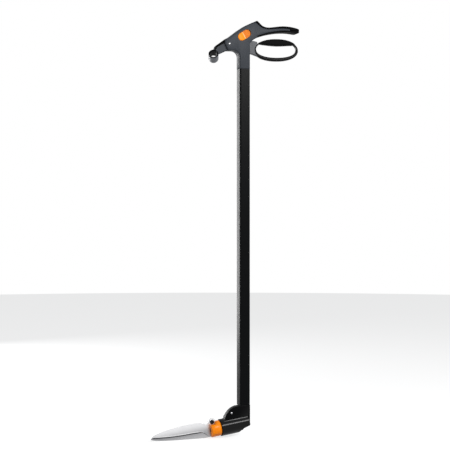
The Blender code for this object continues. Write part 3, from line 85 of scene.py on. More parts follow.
def new_group(kind, name, inputs, outputs):
    """A node group with named sockets: the tree, its inputs to read and its outputs to fill."""
    tree = bpy.data.node_groups.new(name, kind)
    for label, socket_type, value in inputs:
        item = tree.interface.new_socket(name=label, in_out="INPUT", socket_type=socket_type)
        if value is not None:
            item.default_value = value
    for label, socket_type in outputs:
        tree.interface.new_socket(name=label, in_out="OUTPUT", socket_type=socket_type)
    return tree, tree.nodes.new("NodeGroupInput").outputs, tree.nodes.new("NodeGroupOutput").inputs


def calc(tree, operation, *values):
    """One step of arithmetic on sockets or numbers."""
    return put(tree, "ShaderNodeMath", dict(enumerate(values)), operation=operation).outputs[0]


def grain_group():
    """Fine grain or drawn lines as a normal: noise on the object's coordinates, over softened edges."""
    tree, given, result = new_group(
        "ShaderNodeTree", "surface_grain",
        [("Scale", "NodeSocketFloat", 2200.0), ("Depth", "NodeSocketFloat", 0.02 * MM),
         ("Stretch", "NodeSocketVector", (1, 1, 1)), ("Turn", "NodeSocketFloat", 0.0),
         ("Soft", "NodeSocketFloat", 0.3 * MM)],
        [("Normal", "NodeSocketVector")])
    place = put(tree, "ShaderNodeTexCoord")
    leaned = put(tree, "ShaderNodeVectorRotate", {"Vector": place.outputs["Object"], "Axis": (0, 1, 0),
                                                  "Angle": given["Turn"]}, rotation_type="AXIS_ANGLE")
    drawn = put(tree, "ShaderNodeVectorMath", {0: leaned.outputs[0], 1: given["Stretch"]},
                operation="MULTIPLY")
    noise = put(tree, "ShaderNodeTexNoise", {"Vector": drawn.outputs[0], "Scale": given["Scale"],
                                             "Detail": 3.0, "Roughness": 0.6})
    soft = put(tree, "ShaderNodeBevel", {"Radius": given["Soft"]}, samples=3)
    bump = put(tree, "ShaderNodeBump", {"Height": noise.outputs["Fac"], "Distance": given["Depth"],
                                        "Strength": 1.0, "Normal": soft.outputs[0]})
    tree.links.new(bump.outputs["Normal"], result["Normal"])
    return tree


def handling_group():
    """Slow changes over a used surface: fingerprints and dust as a roughness and a shade."""
    tree, given, result = new_group(
        "ShaderNodeTree", "handling_marks",
        [("Roughness", "NodeSocketFloat", 0.4), ("Spread", "NodeSocketFloat", 0.06),
         ("Color", "NodeSocketColor", (0.5, 0.5, 0.5, 1)), ("Fade", "NodeSocketFloat", 0.1)],
        [("Roughness", "NodeSocketFloat"), ("Color", "NodeSocketColor")])
    place = put(tree, "ShaderNodeTexCoord")
    noise = put(tree, "ShaderNodeTexNoise", {"Vector": place.outputs["Object"], "Scale": 26.0, "Detail": 6.0,
                                             "Roughness": 0.62})
    centred = calc(tree, "SUBTRACT", noise.outputs["Fac"], 0.5)
    tree.links.new(calc(tree, "MULTIPLY_ADD", centred, given["Spread"], given["Roughness"]),
                   result["Roughness"])
    shade = calc(tree, "MULTIPLY_ADD", centred, given["Fade"], 1.0)
    tinted = put(tree, "ShaderNodeVectorMath", {0: given["Color"], "Scale": shade}, operation="SCALE")
    tree.links.new(tinted.outputs[0], result["Color"])
    return tree


def mixed_colour(tree, share, first, second):
    """The first colour where the share is 0 and the second where it is 1."""
    sockets = {"Factor_Float": share, "A_Color": first, "B_Color": second}
    node = put(tree, "ShaderNodeMix", data_type="RGBA")
    for socket in node.inputs:
        value = sockets.get(socket.identifier)
        if isinstance(value, bpy.types.NodeSocket):
            tree.links.new(value, socket)
        elif value is not None:
            socket.default_value = (*value, 1)
    return next(socket for socket in node.outputs if socket.identifier == "Result_Color")


def edge_group():
    """Edges rubbed lighter or duller by use, broken up by noise as real wear is."""
    tree, given, result = new_group(
        "ShaderNodeTree", "rubbed_edges",
        [("Color", "NodeSocketColor", (0.5, 0.5, 0.5, 1)),
         ("Edge Color", "NodeSocketColor", (0.8, 0.8, 0.8, 1)), ("Amount", "NodeSocketFloat", 0.3)],
        [("Color", "NodeSocketColor")])
    form = put(tree, "ShaderNodeNewGeometry")
    soft = put(tree, "ShaderNodeBevel", {"Radius": 0.7 * MM}, samples=3)
    turned = put(tree, "ShaderNodeVectorMath", {0: form.outputs["Normal"], 1: soft.outputs[0]},
                 operation="DOT_PRODUCT")
    band = put(tree, "ShaderNodeMapRange", {"Value": turned.outputs["Value"], "From Min": 0.98,
                                            "From Max": 0.8})
    place = put(tree, "ShaderNodeTexCoord")
    noise = put(tree, "ShaderNodeTexNoise", {"Vector": place.outputs["Object"], "Scale": 180.0,
                                             "Detail": 5.0, "Roughness": 0.7})
    patchy = put(tree, "ShaderNodeMapRange", {"Value": noise.outputs["Fac"], "From Min": 0.4,
                                              "From Max": 0.62})
    worn = calc(tree, "MULTIPLY", band.outputs["Result"], patchy.outputs["Result"])
    amount = calc(tree, "MULTIPLY", worn, given["Amount"])
    tree.links.new(mixed_colour(tree, amount, given["Color"], given["Edge Color"]), result["Color"])
    return tree


GRAIN, HANDLING, EDGES = grain_group(), handling_group(), edge_group()


def effect(tree, group, values):
    """A shared effect placed in a material with its own values; gives the effect's outputs."""
    node = put(tree, "ShaderNodeGroup", node_tree=group)
    for label, value in values.items():
        if isinstance(value, bpy.types.NodeSocket):
            tree.links.new(value, node.inputs[label])
        else:
            node.inputs[label].default_value = value
    return node.outputs


def finish(name, colour, edge_colour, roughness, metallic=0.0, specular=0.5, grain=2200.0, depth=0.02,
           spread=0.08, fade=0.16, edge=0.3, stretch=(1, 1, 1), turn=0.0, soft=0.3):
    """A solid finish with grain, handling marks and rubbed edges; grain is per metre, depths in mm."""
    mat = bpy.data.materials.new(name)
    mat.use_nodes = True
    tree = mat.node_tree
    shader = tree.nodes["Principled BSDF"]
    shader.inputs["Metallic"].default_value = metallic
    shader.inputs["Specular IOR Level"].default_value = specular
    edges = effect(tree, EDGES, {"Color": (*colour, 1), "Edge Color": (*edge_colour, 1), "Amount": edge})
    marks = effect(tree, HANDLING, {"Roughness": roughness, "Spread": spread, "Fade": fade,
                                    "Color": edges["Color"]})
    tree.links.new(marks["Color"], shader.inputs["Base Color"])
    tree.links.new(marks["Roughness"], shader.inputs["Roughness"])
    moulded = effect(tree, GRAIN, {"Scale": grain, "Depth": depth * MM, "Stretch": stretch, "Turn": turn,
                                   "Soft": soft * MM})
    tree.links.new(moulded["Normal"], shader.inputs["Normal"])
    mat.diffuse_color = (*colour, 1)
    return mat


def linked(name, data):
    """A new object in the scene that holds the data."""
    obj = bpy.data.objects.new(name, data)
    bpy.context.scene.collection.objects.link(obj)
    return obj


def plain_mesh(obj, name):
    """The object's evaluated shape as a new object at the origin with nothing live on it."""
    depsgraph = bpy.context.evaluated_depsgraph_get()
    mesh = bpy.data.meshes.new_from_object(obj.evaluated_get(depsgraph), depsgraph=depsgraph)
    mesh.transform(obj.matrix_world)
    mesh.name = name
    bpy.data.objects.remove(obj)
    return linked(name, mesh)


def smooth_shaded(piece, sharp=40):
    """Smooth shading with its edges kept sharp past an angle in degrees."""
    piece.data.shade_smooth()
    piece.data.set_sharp_from_angle(angle=radians(sharp))
    return piece


def set_input(modifier, label, value):
    """Gives a Geometry Nodes input its value by the socket's identifier."""
    for item in modifier.node_group.interface.items_tree:
        if item.item_type == "SOCKET" and item.in_out == "INPUT" and item.name == label:
            modifier[item.identifier] = value


def ended(tree, shape, given, result):
    """The tree with its end: the shape's instances made real, in the material given."""
    real = put(tree, "GeometryNodeRealizeInstances", {"Geometry": shape})
    coloured = put(tree, "GeometryNodeSetMaterial", {"Geometry": real.outputs[0],
                                                     "Material": given["Material"]})
    tree.links.new(coloured.outputs[0], result["Geometry"])
    return tree


def box_section_tree():
    """A box section with round corners, drawn along Z, with its wall inside."""
    tree, given, result = new_group(
        "GeometryNodeTree", "box_section",
        [("Side", "NodeSocketFloat", 27 * MM), ("Corner", "NodeSocketFloat", TUBE_CORNER),
         ("Foot", "NodeSocketFloat", 0.0), ("Top", "NodeSocketFloat", 1.0),
         ("Material", "NodeSocketMaterial", None)],
        [("Geometry", "NodeSocketGeometry")])
    low = put(tree, "ShaderNodeCombineXYZ", {"Z": given["Foot"]})
    high = put(tree, "ShaderNodeCombineXYZ", {"Z": given["Top"]})
    line = put(tree, "GeometryNodeCurvePrimitiveLine", {"Start": low.outputs[0], "End": high.outputs[0]})
    square = put(tree, "GeometryNodeCurvePrimitiveQuadrilateral", {"Width": given["Side"],
                                                                    "Height": given["Side"]})
    rounded = put(tree, "GeometryNodeFilletCurve", {"Curve": square.outputs[0], "Radius": given["Corner"],
                                                    "Count": 8}, mode="POLY")
    skin = put(tree, "GeometryNodeCurveToMesh", {"Curve": line.outputs[0],
                                                 "Profile Curve": rounded.outputs[0]})
    return ended(tree, skin.outputs[0], given, result)


def from_tree(tree, name, **inputs):
    """An object whose mesh a Geometry Nodes tree makes from the inputs."""
    carrier = linked(name + "_carrier", bpy.data.meshes.new(name))
    modifier = carrier.modifiers.new("made", "NODES")
    modifier.node_group = tree
    for label, value in inputs.items():
        set_input(modifier, label.replace("_", " "), value)
    return carrier


def seated(piece, body, slot, *nodes):
    """The piece rides on its body and stands for its nodes, if it has any; its slot is not used."""
    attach(piece, body)
    if nodes:
        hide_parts(*nodes)
    return piece


anodised = finish("tube_anodised", TUBE_BLACK, (0.03, 0.03, 0.032), roughness=0.32, specular=0.05,
                  grain=3800.0, depth=0.004, spread=0.05, fade=0.3, edge=0.5, stretch=(1, 1, 0.006))
tube_low, tube_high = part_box("tube")
tube_side = tube_high.x - tube_low.x
tube_axis_x = (tube_high.x + tube_low.x) / 2
carrier = from_tree(box_section_tree(), "square_tube", Side=tube_side, Corner=TUBE_CORNER,
                    Foot=tube_low.z, Top=tube_high.z, Material=anodised)
carrier.location.x = tube_axis_x
bpy.context.view_layer.update()
wall = carrier.modifiers.new("wall", "SOLIDIFY")
wall.thickness = TUBE_WALL
wall.offset = -1
square_tube = smooth_shaded(plain_mesh(carrier, "square_tube"), 50)
seated(square_tube, "tube_and_housings", "tube_black", "tube")


# Handle housing
# Two halves of grain-moulded blue-grey nylon, screwed together from the far side, with a column that
# stops on the tube, a nose for the trigger's pin and a core that the soft grip is moulded round.
HOUSING_GREY = (0.037, 0.041, 0.048)


def made(bm, name, *looks):
    """The drawn mesh as a new object in its materials."""
    mesh = bpy.data.meshes.new(name)
    bm.to_mesh(mesh)
    bm.free()
    for look in looks:
        mesh.materials.append(look)
    return linked(name, mesh)


def merged_copy(node, name):
    """A copy of a solid with its triangles joined into faces, to finish in the solid's own place."""
    source = frame["nodes"][node].data
    bm = bmesh.new()
    bm.from_mesh(source)
    bmesh.ops.remove_doubles(bm, verts=bm.verts, dist=0.002 * MM)
    bmesh.ops.dissolve_limit(bm, angle_limit=radians(0.6), verts=bm.verts, edges=bm.edges)
    return made(bm, name)


def refined(node, name, look, body, slot, sharp=50):
    """The merged copy of a node in its final material, riding in its place."""
    piece = smooth_shaded(merged_copy(node, name), sharp)
    piece.data.materials.append(look)
    return seated(piece, body, slot, node)


housing_nylon = finish("housing_nylon", HOUSING_GREY, (0.08, 0.088, 0.1), roughness=0.42, specular=0.08,
                       grain=3000.0, depth=0.008, soft=0.5)
for side in ("near", "far"):
    refined("handle_shell_" + side, "housing_half_" + side, housing_nylon, "tube_and_housings",
            "housing_grey")


# Screws
# Blackened self-tapping screws with domed heads and a cross recess, sunk in round wells of the far
# halves; two more hold the tube on its spigots.
SCREW_DOME, RECESS_HEIGHT = 2 * MM, 1.75 * MM
RECESS_BAR = (3.1 * MM, 0.62 * MM, 2.1 * MM)
SCREW_BLACK = (0.05, 0.05, 0.054)


def skinned(bm, rings):
    """Faces between each closed ring of vertices and the next; a ring of one vertex is a pole."""
    for low, high in zip(rings, rings[1:]):
        count = max(len(low), len(high))
        for i in range(count):
            j = (i + 1) % count
            corners = [low[0]] if len(low) == 1 else [low[i], low[j]]
            corners += [high[0]] if len(high) == 1 else [high[j], high[i]]
            bm.faces.new(corners)


def screw_blank(reach):
    """A domed head, its seat at zero and its dome along +Z, on a plain shank that reaches down so many mm."""
    bm = bmesh.new()
    profile = [(0.0, 1.9), (0.9, 1.88), (1.86, 1.72), (2.5, 1.5), (2.9, 1.15), (3.0, 0.7), (3.0, 0.1),
               (2.8, 0.0), (1.5, 0.0), (1.5, 3.0 - reach), (1.1, 0.8 - reach), (0.0, -reach)]
    steps = 24
    rings = []
    for r, z in profile:
        if r == 0.0:
            rings.append([bm.verts.new((0, 0, z * MM))])
        else:
            rings.append([bm.verts.new((r * MM * cos(2 * pi * i / steps), r * MM * sin(2 * pi * i / steps),
                                        z * MM)) for i in range(steps)])
    skinned(bm, rings)
    bmesh.ops.recalc_face_normals(bm, faces=bm.faces)
    return made(bm, "screw_blank")


def recess_bar(turn):
    """One of the two crossed bars that cut the drive recess."""
    bm = bmesh.new()
    size = Matrix.Diagonal((*RECESS_BAR, 1))
    bmesh.ops.create_cube(bm, size=1.0, matrix=Matrix.Translation((0, 0, RECESS_HEIGHT))
                          @ Matrix.Rotation(turn, 4, "Z") @ size)
    return made(bm, "recess_bar")


blackened = finish("blackened_steel", SCREW_BLACK, (0.3, 0.3, 0.31), roughness=0.38, metallic=1.0,
                   grain=4000.0, depth=0.004, spread=0.1, fade=0.3, edge=0.7)


def cross_screw(reach):
    """One screw with its cross recess cut."""
    blank = screw_blank(reach)
    bars = [recess_bar(turn) for turn in (0, pi / 2)]
    for bar in bars:
        recess = blank.modifiers.new("recess", "BOOLEAN")
        recess.operation = "DIFFERENCE"
        recess.object = bar
    screw = plain_mesh(blank, "screw_pattern")
    for bar in bars:
        bpy.data.objects.remove(bar)
    return screw


def screws_tree():
    """A screw at each point, its dome along the point's normal and its recess turned at random."""
    tree, given, result = new_group(
        "GeometryNodeTree", "screw_set",
        [("Points", "NodeSocketGeometry", None), ("Screw", "NodeSocketObject", None),
         ("Seed", "NodeSocketInt", 4), ("Material", "NodeSocketMaterial", None)],
        [("Geometry", "NodeSocketGeometry")])
    info = put(tree, "GeometryNodeObjectInfo", {"Object": given["Screw"]})
    way = put(tree, "GeometryNodeInputNamedAttribute", {"Name": "way"}, data_type="FLOAT_VECTOR")
    aimed = put(tree, "FunctionNodeAlignEulerToVector", {"Vector": way.outputs["Attribute"]}, axis="Z")
    turn = put(tree, "FunctionNodeRandomValue", {"Seed": given["Seed"]}, data_type="FLOAT")
    spun = calc(tree, "MULTIPLY", turn.outputs[1], pi / 2)
    turned = put(tree, "FunctionNodeRotateEuler", rotation_type="AXIS_ANGLE", space="LOCAL")
    tree.links.new(aimed.outputs[0], turned.inputs["Rotation"])
    tree.links.new(spun, turned.inputs["Angle"])
    on_points = put(tree, "GeometryNodeInstanceOnPoints", {"Points": given["Points"],
                                                            "Instance": info.outputs["Geometry"],
                                                            "Rotation": turned.outputs[0]})
    return ended(tree, on_points.outputs[0], given, result)


SCREWS = screws_tree()


def screw_row(name, nodes, way, reach):
    """Screws in the places of the nodes, each with its seat where the node's head begins."""
    pattern = cross_screw(reach)
    heads = []
    for node in nodes:
        low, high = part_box(node)
        centre = Vector([(low[k] + high[k]) / 2 for k in range(3)])
        along = max(range(3), key=lambda k: abs(way[k]))
        centre[along] = high[along] if way[along] > 0 else low[along]
        heads.append(centre - Vector(way) * SCREW_DOME)
    mesh = bpy.data.meshes.new(name + "_points")
    mesh.from_pydata([tuple(h) for h in heads], [], [])
    attribute = mesh.attributes.new("way", "FLOAT_VECTOR", "POINT")
    for item in attribute.data:
        item.vector = way
    carrier = linked(name + "_carrier", mesh)
    modifier = carrier.modifiers.new("made", "NODES")
    modifier.node_group = SCREWS
    set_input(modifier, "Screw", pattern)
    set_input(modifier, "Material", blackened)
    row = smooth_shaded(plain_mesh(carrier, name), 38)
    bpy.data.objects.remove(pattern)
    return seated(row, "tube_and_housings", "dark_steel", *nodes)


screw_row("housing_screws", [f"handle_screw_{i}" for i in (1, 2, 3, 4)], (0, 1, 0), reach=18.0)
screw_row("foot_screws", ["foot_screw_1", "foot_screw_2", "foot_screw_3"], (0, 1, 0), reach=15.2)
screw_row("tube_screws", ["tube_screw_lower", "tube_screw_upper"], (1, 0, 0), reach=8.4)


# Soft grip
# Black soft-touch rubber moulded over the grip's core in two bands, so that a strip of the hard
# housing shows between them until they meet round the tip.
def blended(node, name, look, body, slot, *cutters, voxel=0.55 * MM, rounds=5):
    """A cut, remeshed and smoothed copy of a node, whose inner corners run together as moulded ones do."""
    piece = merged_copy(node, name)
    for cutter in cutters:
        trim = piece.modifiers.new("trim", "BOOLEAN")
        trim.operation = "DIFFERENCE"
        trim.object = cutter
    even = piece.modifiers.new("even", "REMESH")
    even.mode = "VOXEL"
    even.voxel_size = voxel
    relax = piece.modifiers.new("relax", "SMOOTH")
    relax.factor = 0.5
    relax.iterations = rounds
    piece = smooth_shaded(plain_mesh(piece, name), 70)
    for cutter in cutters:
        bpy.data.objects.remove(cutter)
    piece.data.materials.clear()
    piece.data.materials.append(look)
    return seated(piece, body, slot, node)


grip_rubber = finish("grip_rubber", (0.001, 0.001, 0.0011), (0.008, 0.008, 0.008), roughness=0.6,
                     specular=0.04, grain=1500.0, depth=0.012, fade=0.3)
for node, name in (("grip_pad_top", "grip_band_top"), ("grip_pad_lower", "grip_band_lower")):
    blended(node, name, grip_rubber, "tube_and_housings", "soft_grip")


# Hanging eye
# A moulded arm in the housing's grey that hangs on the trigger's pin behind the nose, with a soft black
# strip along its back and a ring twisted at its end. The ring's outer face is painted a lighter grey as
# painted light from below, and a thin black bush in its bore stands in for the shade inside it.
RING_BORE_R, RING_OUTER_R, RING_LENGTH = 9.6 * MM, 12.6 * MM, 25 * MM
RING_TWIST, ON_RING = radians(29), 0.6 * MM
PIN_AT = Vector((37.4, 0, 31.5)) * MM


def turned_mesh(name, profile, way, centre, look, steps=48):
    """A turned piece: (along, radius) pairs swung round an axis through the centre; a closed skin."""
    bm = bmesh.new()
    rings = []
    for along, r in profile:
        count = 1 if r == 0 else steps
        rings.append([bm.verts.new((r * cos(2 * pi * i / count), r * sin(2 * pi * i / count), along))
                      for i in range(count)])
    hollow = profile[0][1] and profile[-1][1]
    skinned(bm, rings + rings[:1] if hollow else rings)
    bmesh.ops.recalc_face_normals(bm, faces=bm.faces)
    bm.transform(Matrix.Translation(centre) @ Vector(way).to_track_quat("Z", "Y").to_matrix().to_4x4())
    return smooth_shaded(made(bm, name, look), 32)


def band_mesh(name, line, depth, drops, look):
    """A strip laid on a line of (x, z) points over the depth, reaching down by a first and last drop."""
    bm = bmesh.new()
    half_depth, crown, rounding, shoulder = depth / 2, 0.5 * MM, 0.3 * MM, 1.1 * MM
    near_side = [(-half_depth, -1.0), (-half_depth, -0.25), (-half_depth + rounding, -0.05),
                 (-half_depth + shoulder, crown)]
    section = near_side + [(-y, h) for y, h in reversed(near_side)]
    rings = []
    for i, (x, z) in enumerate(line):
        before, after = line[max(i - 1, 0)], line[min(i + 1, len(line) - 1)]
        run = Vector((after[0] - before[0], after[1] - before[1])).normalized()
        share = i / (len(line) - 1)
        drop = drops[0] + (drops[1] - drops[0]) * share
        ring = []
        for y, h in section:
            reach = h * drop if h < 0 else h
            ring.append(bm.verts.new((x + run.y * reach, y, z - run.x * reach)))
        rings.append(ring)
    skinned(bm, rings)
    bm.faces.new(rings[0])
    bm.faces.new(rings[-1])
    bmesh.ops.recalc_face_normals(bm, faces=bm.faces)
    return smooth_shaded(made(bm, name, look), 50)


black_plastic = finish("black_plastic", (0.001, 0.0011, 0.0013), (0.012, 0.012, 0.013), roughness=0.36,
                       specular=0.04, grain=3000.0, depth=0.006, fade=0.3, edge=0.35, soft=0.5)
ring_way = Matrix.Rotation(RING_TWIST, 4, -PIN_AT.normalized()) @ Vector((0, 1, 0))
bore_room = turned_mesh("bore_room", [
    (-RING_LENGTH, 0), (-RING_LENGTH, RING_BORE_R), (RING_LENGTH, RING_BORE_R), (RING_LENGTH, 0)],
    ring_way, (0, 0, 0), black_plastic)
# A lighter copy of the housing's grey for the ring's outer face: painted light, as if lit from below.
lit_ring_nylon = finish("lit_ring_nylon", (0.06, 0.065, 0.078), (0.12, 0.13, 0.15), roughness=0.34, grain=3000.0,
                    depth=0.006)
arm = blended("hanging_eye", "hanging_ring_arm", housing_nylon, "tube_and_housings", "housing_grey",
              bore_room, voxel=0.5 * MM, rounds=4)
arm.data.materials.append(lit_ring_nylon)
# Faces on the ring's outer face take the lighter grey, the painted light.
for face in arm.data.polygons:
    if abs((face.center - ring_way * face.center.dot(ring_way)).length - RING_OUTER_R) < ON_RING:
        face.material_index = 1
# A thin black bush lines the bore and covers its ends: a dark sheet that stands in for the shade inside the
# ring.
half = RING_LENGTH / 2
flange_r = RING_OUTER_R - 0.9 * MM
front_half = [(half - 0.6 * MM, RING_BORE_R + 0.4 * MM), (half - 0.6 * MM, flange_r),
              (half + 0.3 * MM, flange_r), (half + 0.7 * MM, flange_r - 0.4 * MM),
              (half + 0.7 * MM, RING_BORE_R + 0.3 * MM), (half + 0.5 * MM, RING_BORE_R - 0.2 * MM),
              (half - 1 * MM, RING_BORE_R - 0.3 * MM)]
back_half = [(-along, r) for along, r in reversed(front_half)]
bore_shade_bush = turned_mesh("hanging_ring_bush", back_half + front_half, ring_way, (0, 0, 0), black_plastic)
seated(bore_shade_bush, "tube_and_housings", "black_plastic")
BACK_LINE = ((32.4, 45.0), (26.5, 40.7), (20.5, 36.3), (14.5, 32.0), (9.5, 28.4), (6.2, 25.8), (4.2, 23.4),
             (3.0, 20.6), (1.9, 17.0), (0.9, 13.6))
back_strip = band_mesh("arm_back_strip", [(x * MM, z * MM) for x, z in BACK_LINE], 15.6 * MM,
                       (6.5 * MM, 2 * MM), grip_rubber)
seated(back_strip, "tube_and_housings", "soft_grip")


# Trigger pin and washers
# A bright steel pin, turned with a domed head and peened behind, that runs through nose, hanging arm
# and lever, with a white nylon washer on each side of the lever.
bright_steel = finish("bright_steel", (0.56, 0.56, 0.57), (0.75, 0.75, 0.76), roughness=0.27, metallic=1.0,
                      grain=5000.0, depth=0.003, fade=0.15)
pin_steel = finish("pin_steel", (0.34, 0.34, 0.35), (0.6, 0.6, 0.61), roughness=0.3, metallic=1.0,
                   grain=5000.0, depth=0.003, fade=0.2)
nylon = finish("natural_nylon", (0.68, 0.66, 0.6), (0.75, 0.73, 0.68), roughness=0.48, grain=2600.0,
               depth=0.01, spread=0.06, fade=0.08, edge=0.1)


def pin_with_heads(name, node, body, slot, look, flange, dome, shank):
    """A turned pin across the tool with a domed head on the near side and a peened tail behind."""
    low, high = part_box(node)
    centre = (low + high) / 2
    near, far = low.y - centre.y, high.y - centre.y
    piece = turned_mesh(name, [
        (near, 0), (near + 0.05 * dome, flange * 0.45), (near + 0.3 * dome, flange * 0.78),
        (near + 0.75 * dome, flange * 0.97), (near + dome, flange), (near + dome + 0.4 * MM, flange),
        (near + dome + 0.5 * MM, flange - 0.1 * MM), (near + dome + 0.5 * MM, shank),
        (far - 0.4 * MM, shank), (far, shank - 0.4 * MM), (far, 0)], (0, 1, 0), centre, look)
    return seated(piece, body, slot, node)


pin_with_heads("trigger_pin", "trigger_pivot_pin", "tube_and_housings", "bright_steel", pin_steel,
               flange=2.7 * MM, dome=1 * MM, shank=2.5 * MM)
for node, name in (("trigger_washer_near", "trigger_washer_left"),
                   ("trigger_washer_far", "trigger_washer_right")):
    refined(node, name, nylon, "tube_and_housings", "nylon", sharp=30)


# Trigger lever
# A flat grey lever inside the housing that runs out to a closed oval finger loop. The loop's rim is a
# black overmoulding, thicker at its foot; its shape follows one rule all the way round.
LOOP_AT = Vector((167.9, 0, 22.6)) * MM
LOOP_HALF_WIDTH, LOOP_HALF_HEIGHT = 59.8 * MM, 27.5 * MM
LOOP_RIM, LOOP_RIM_FOOT, LOOP_DEPTH = 4.7 * MM, 9.6 * MM, 12 * MM
LOOP_SQUARE, RIM_SQUARE = 2.2, 2.8
LOOP_TILT = radians(2.5)
LEVER_HALF, BRACKET_REACH, RIM_LAP, RIM_CLEAR = 4.5 * MM, 9 * MM, 0.9 * MM, 0.5 * MM


def squared(tree, wave, square):
    """A sine or cosine bent towards a squarer oval."""
    power = calc(tree, "DIVIDE", 2.0, square)
    return calc(tree, "MULTIPLY", calc(tree, "SIGN", wave),
                calc(tree, "POWER", calc(tree, "ABSOLUTE", wave), power))


def oval_rim_tree():
    """A closed rim between an outer and an inner oval, with a rounded section."""
    tree, given, result = new_group(
        "GeometryNodeTree", "oval_rim",
        [("Half Width", "NodeSocketFloat", LOOP_HALF_WIDTH),
         ("Half Height", "NodeSocketFloat", LOOP_HALF_HEIGHT),
         ("Rim", "NodeSocketFloat", LOOP_RIM), ("Rim Foot", "NodeSocketFloat", LOOP_RIM_FOOT),
         ("Depth", "NodeSocketFloat", LOOP_DEPTH), ("Square", "NodeSocketFloat", LOOP_SQUARE),
         ("Section Square", "NodeSocketFloat", RIM_SQUARE), ("Steps", "NodeSocketInt", 145),
         ("Section Steps", "NodeSocketInt", 29), ("Material", "NodeSocketMaterial", None)],
        [("Geometry", "NodeSocketGeometry")])
    grid = put(tree, "GeometryNodeMeshGrid", {"Size X": 1.0, "Size Y": 1.0, "Vertices X": given["Steps"],
                                              "Vertices Y": given["Section Steps"]})
    place = put(tree, "ShaderNodeSeparateXYZ", {"Vector": put(tree, "GeometryNodeInputPosition").outputs[0]})
    around = calc(tree, "MULTIPLY", calc(tree, "ADD", place.outputs["X"], 0.5), 2 * pi)
    section = calc(tree, "MULTIPLY", calc(tree, "ADD", place.outputs["Y"], 0.5), 2 * pi)
    across = squared(tree, calc(tree, "COSINE", around), given["Square"])
    upward = squared(tree, calc(tree, "SINE", around), given["Square"])
    lift = calc(tree, "MULTIPLY", calc(tree, "SUBTRACT", given["Rim Foot"], given["Rim"]), 0.5)
    mean_rim = calc(tree, "MULTIPLY", calc(tree, "ADD", given["Rim Foot"], given["Rim"]), 0.5)
    inner_wide = calc(tree, "SUBTRACT", given["Half Width"], given["Rim"])
    inner_high = calc(tree, "SUBTRACT", given["Half Height"], mean_rim)
    outer_x = calc(tree, "MULTIPLY", given["Half Width"], across)
    outer_z = calc(tree, "MULTIPLY", given["Half Height"], upward)
    inner_x = calc(tree, "MULTIPLY", inner_wide, across)
    inner_z = calc(tree, "MULTIPLY_ADD", inner_high, upward, lift)
    inward = calc(tree, "MULTIPLY_ADD",
                  squared(tree, calc(tree, "COSINE", section), given["Section Square"]), -0.5, 0.5)
    x = calc(tree, "MULTIPLY_ADD", calc(tree, "SUBTRACT", inner_x, outer_x), inward, outer_x)
    z = calc(tree, "MULTIPLY_ADD", calc(tree, "SUBTRACT", inner_z, outer_z), inward, outer_z)
    y = calc(tree, "MULTIPLY", squared(tree, calc(tree, "SINE", section), given["Section Square"]),
             calc(tree, "MULTIPLY", given["Depth"], 0.5))
    point = put(tree, "ShaderNodeCombineXYZ", {"X": x, "Y": y, "Z": z})
    shaped = put(tree, "GeometryNodeSetPosition", {"Geometry": grid.outputs["Mesh"],
                                                   "Position": point.outputs[0]})
    closed = put(tree, "GeometryNodeMergeByDistance", {"Geometry": shaped.outputs[0], "Distance": 0.02 * MM})
    return ended(tree, closed.outputs[0], given, result)


def prism_cutter(name, outline, y0, y1):
    """A closed prism over (x, z) points between two depths, to cut with."""
    bm = bmesh.new()
    low = [bm.verts.new((x, y0, z)) for x, z in outline]
    high = [bm.verts.new((x, y1, z)) for x, z in outline]
    bm.faces.new(low)
    bm.faces.new(high)
    skinned(bm, [low, high])
    bmesh.ops.recalc_face_normals(bm, faces=bm.faces)
    return made(bm, name)


def loop_outline(grow, steps=72):
    """The loop's outer oval, grown outward."""
    points = []
    for i in range(steps):
        c, n = cos(2 * pi * i / steps), sin(2 * pi * i / steps)
        x = (LOOP_HALF_WIDTH + grow) * abs(c) ** (2 / LOOP_SQUARE) * (1 if c > 0 else -1)
        z = (LOOP_HALF_HEIGHT + grow) * abs(n) ** (2 / LOOP_SQUARE) * (1 if n > 0 else -1)
        points.append((LOOP_AT.x + x * cos(LOOP_TILT) - z * sin(LOOP_TILT),
                       LOOP_AT.z + x * sin(LOOP_TILT) + z * cos(LOOP_TILT)))
    return points


lever_plastic = finish("lever_plastic", (0.062, 0.064, 0.071), (0.12, 0.125, 0.135), roughness=0.42,
                       specular=0.2, grain=3000.0, depth=0.008, fade=0.15)
rim_plastic = finish("rim_plastic", (0.0012, 0.0012, 0.0014), (0.012, 0.012, 0.013), roughness=0.3,
                     specular=0.07, grain=3000.0, depth=0.005, fade=0.25)
root_x = LOOP_AT.x - LOOP_HALF_WIDTH + BRACKET_REACH
end_x, foot_z, top_z = root_x + 130 * MM, -50 * MM, 90 * MM
past_root = [(root_x, foot_z), (end_x, foot_z), (end_x, top_z), (root_x, top_z)]
clear, skin = 20 * MM, LEVER_HALF + 0.1 * MM
inside_rim, past_rim = loop_outline(-RIM_LAP), loop_outline(RIM_CLEAR)
blended("trigger_lever", "finger_lever", lever_plastic, "trigger", "lever_grey",
        prism_cutter("rim_room", inside_rim, -clear, clear),
        prism_cutter("near_room", past_rim, -clear, -skin),
        prism_cutter("far_room", past_rim, skin, clear),
        prism_cutter("past_root", past_root, -clear, clear), rounds=3)
rim_carrier = from_tree(oval_rim_tree(), "finger_loop_rim", Half_Width=LOOP_HALF_WIDTH,
                        Half_Height=LOOP_HALF_HEIGHT, Rim=LOOP_RIM, Rim_Foot=LOOP_RIM_FOOT, Depth=LOOP_DEPTH,
                        Square=LOOP_SQUARE, Section_Square=RIM_SQUARE, Material=rim_plastic)
rim_carrier.matrix_world = Matrix.Translation(LOOP_AT) @ Matrix.Rotation(-LOOP_TILT, 4, "Y")
bpy.context.view_layer.update()
loop_rim = plain_mesh(rim_carrier, "finger_loop_rim")
bm = bmesh.new()
bm.from_mesh(loop_rim.data)
bmesh.ops.recalc_face_normals(bm, faces=bm.faces)
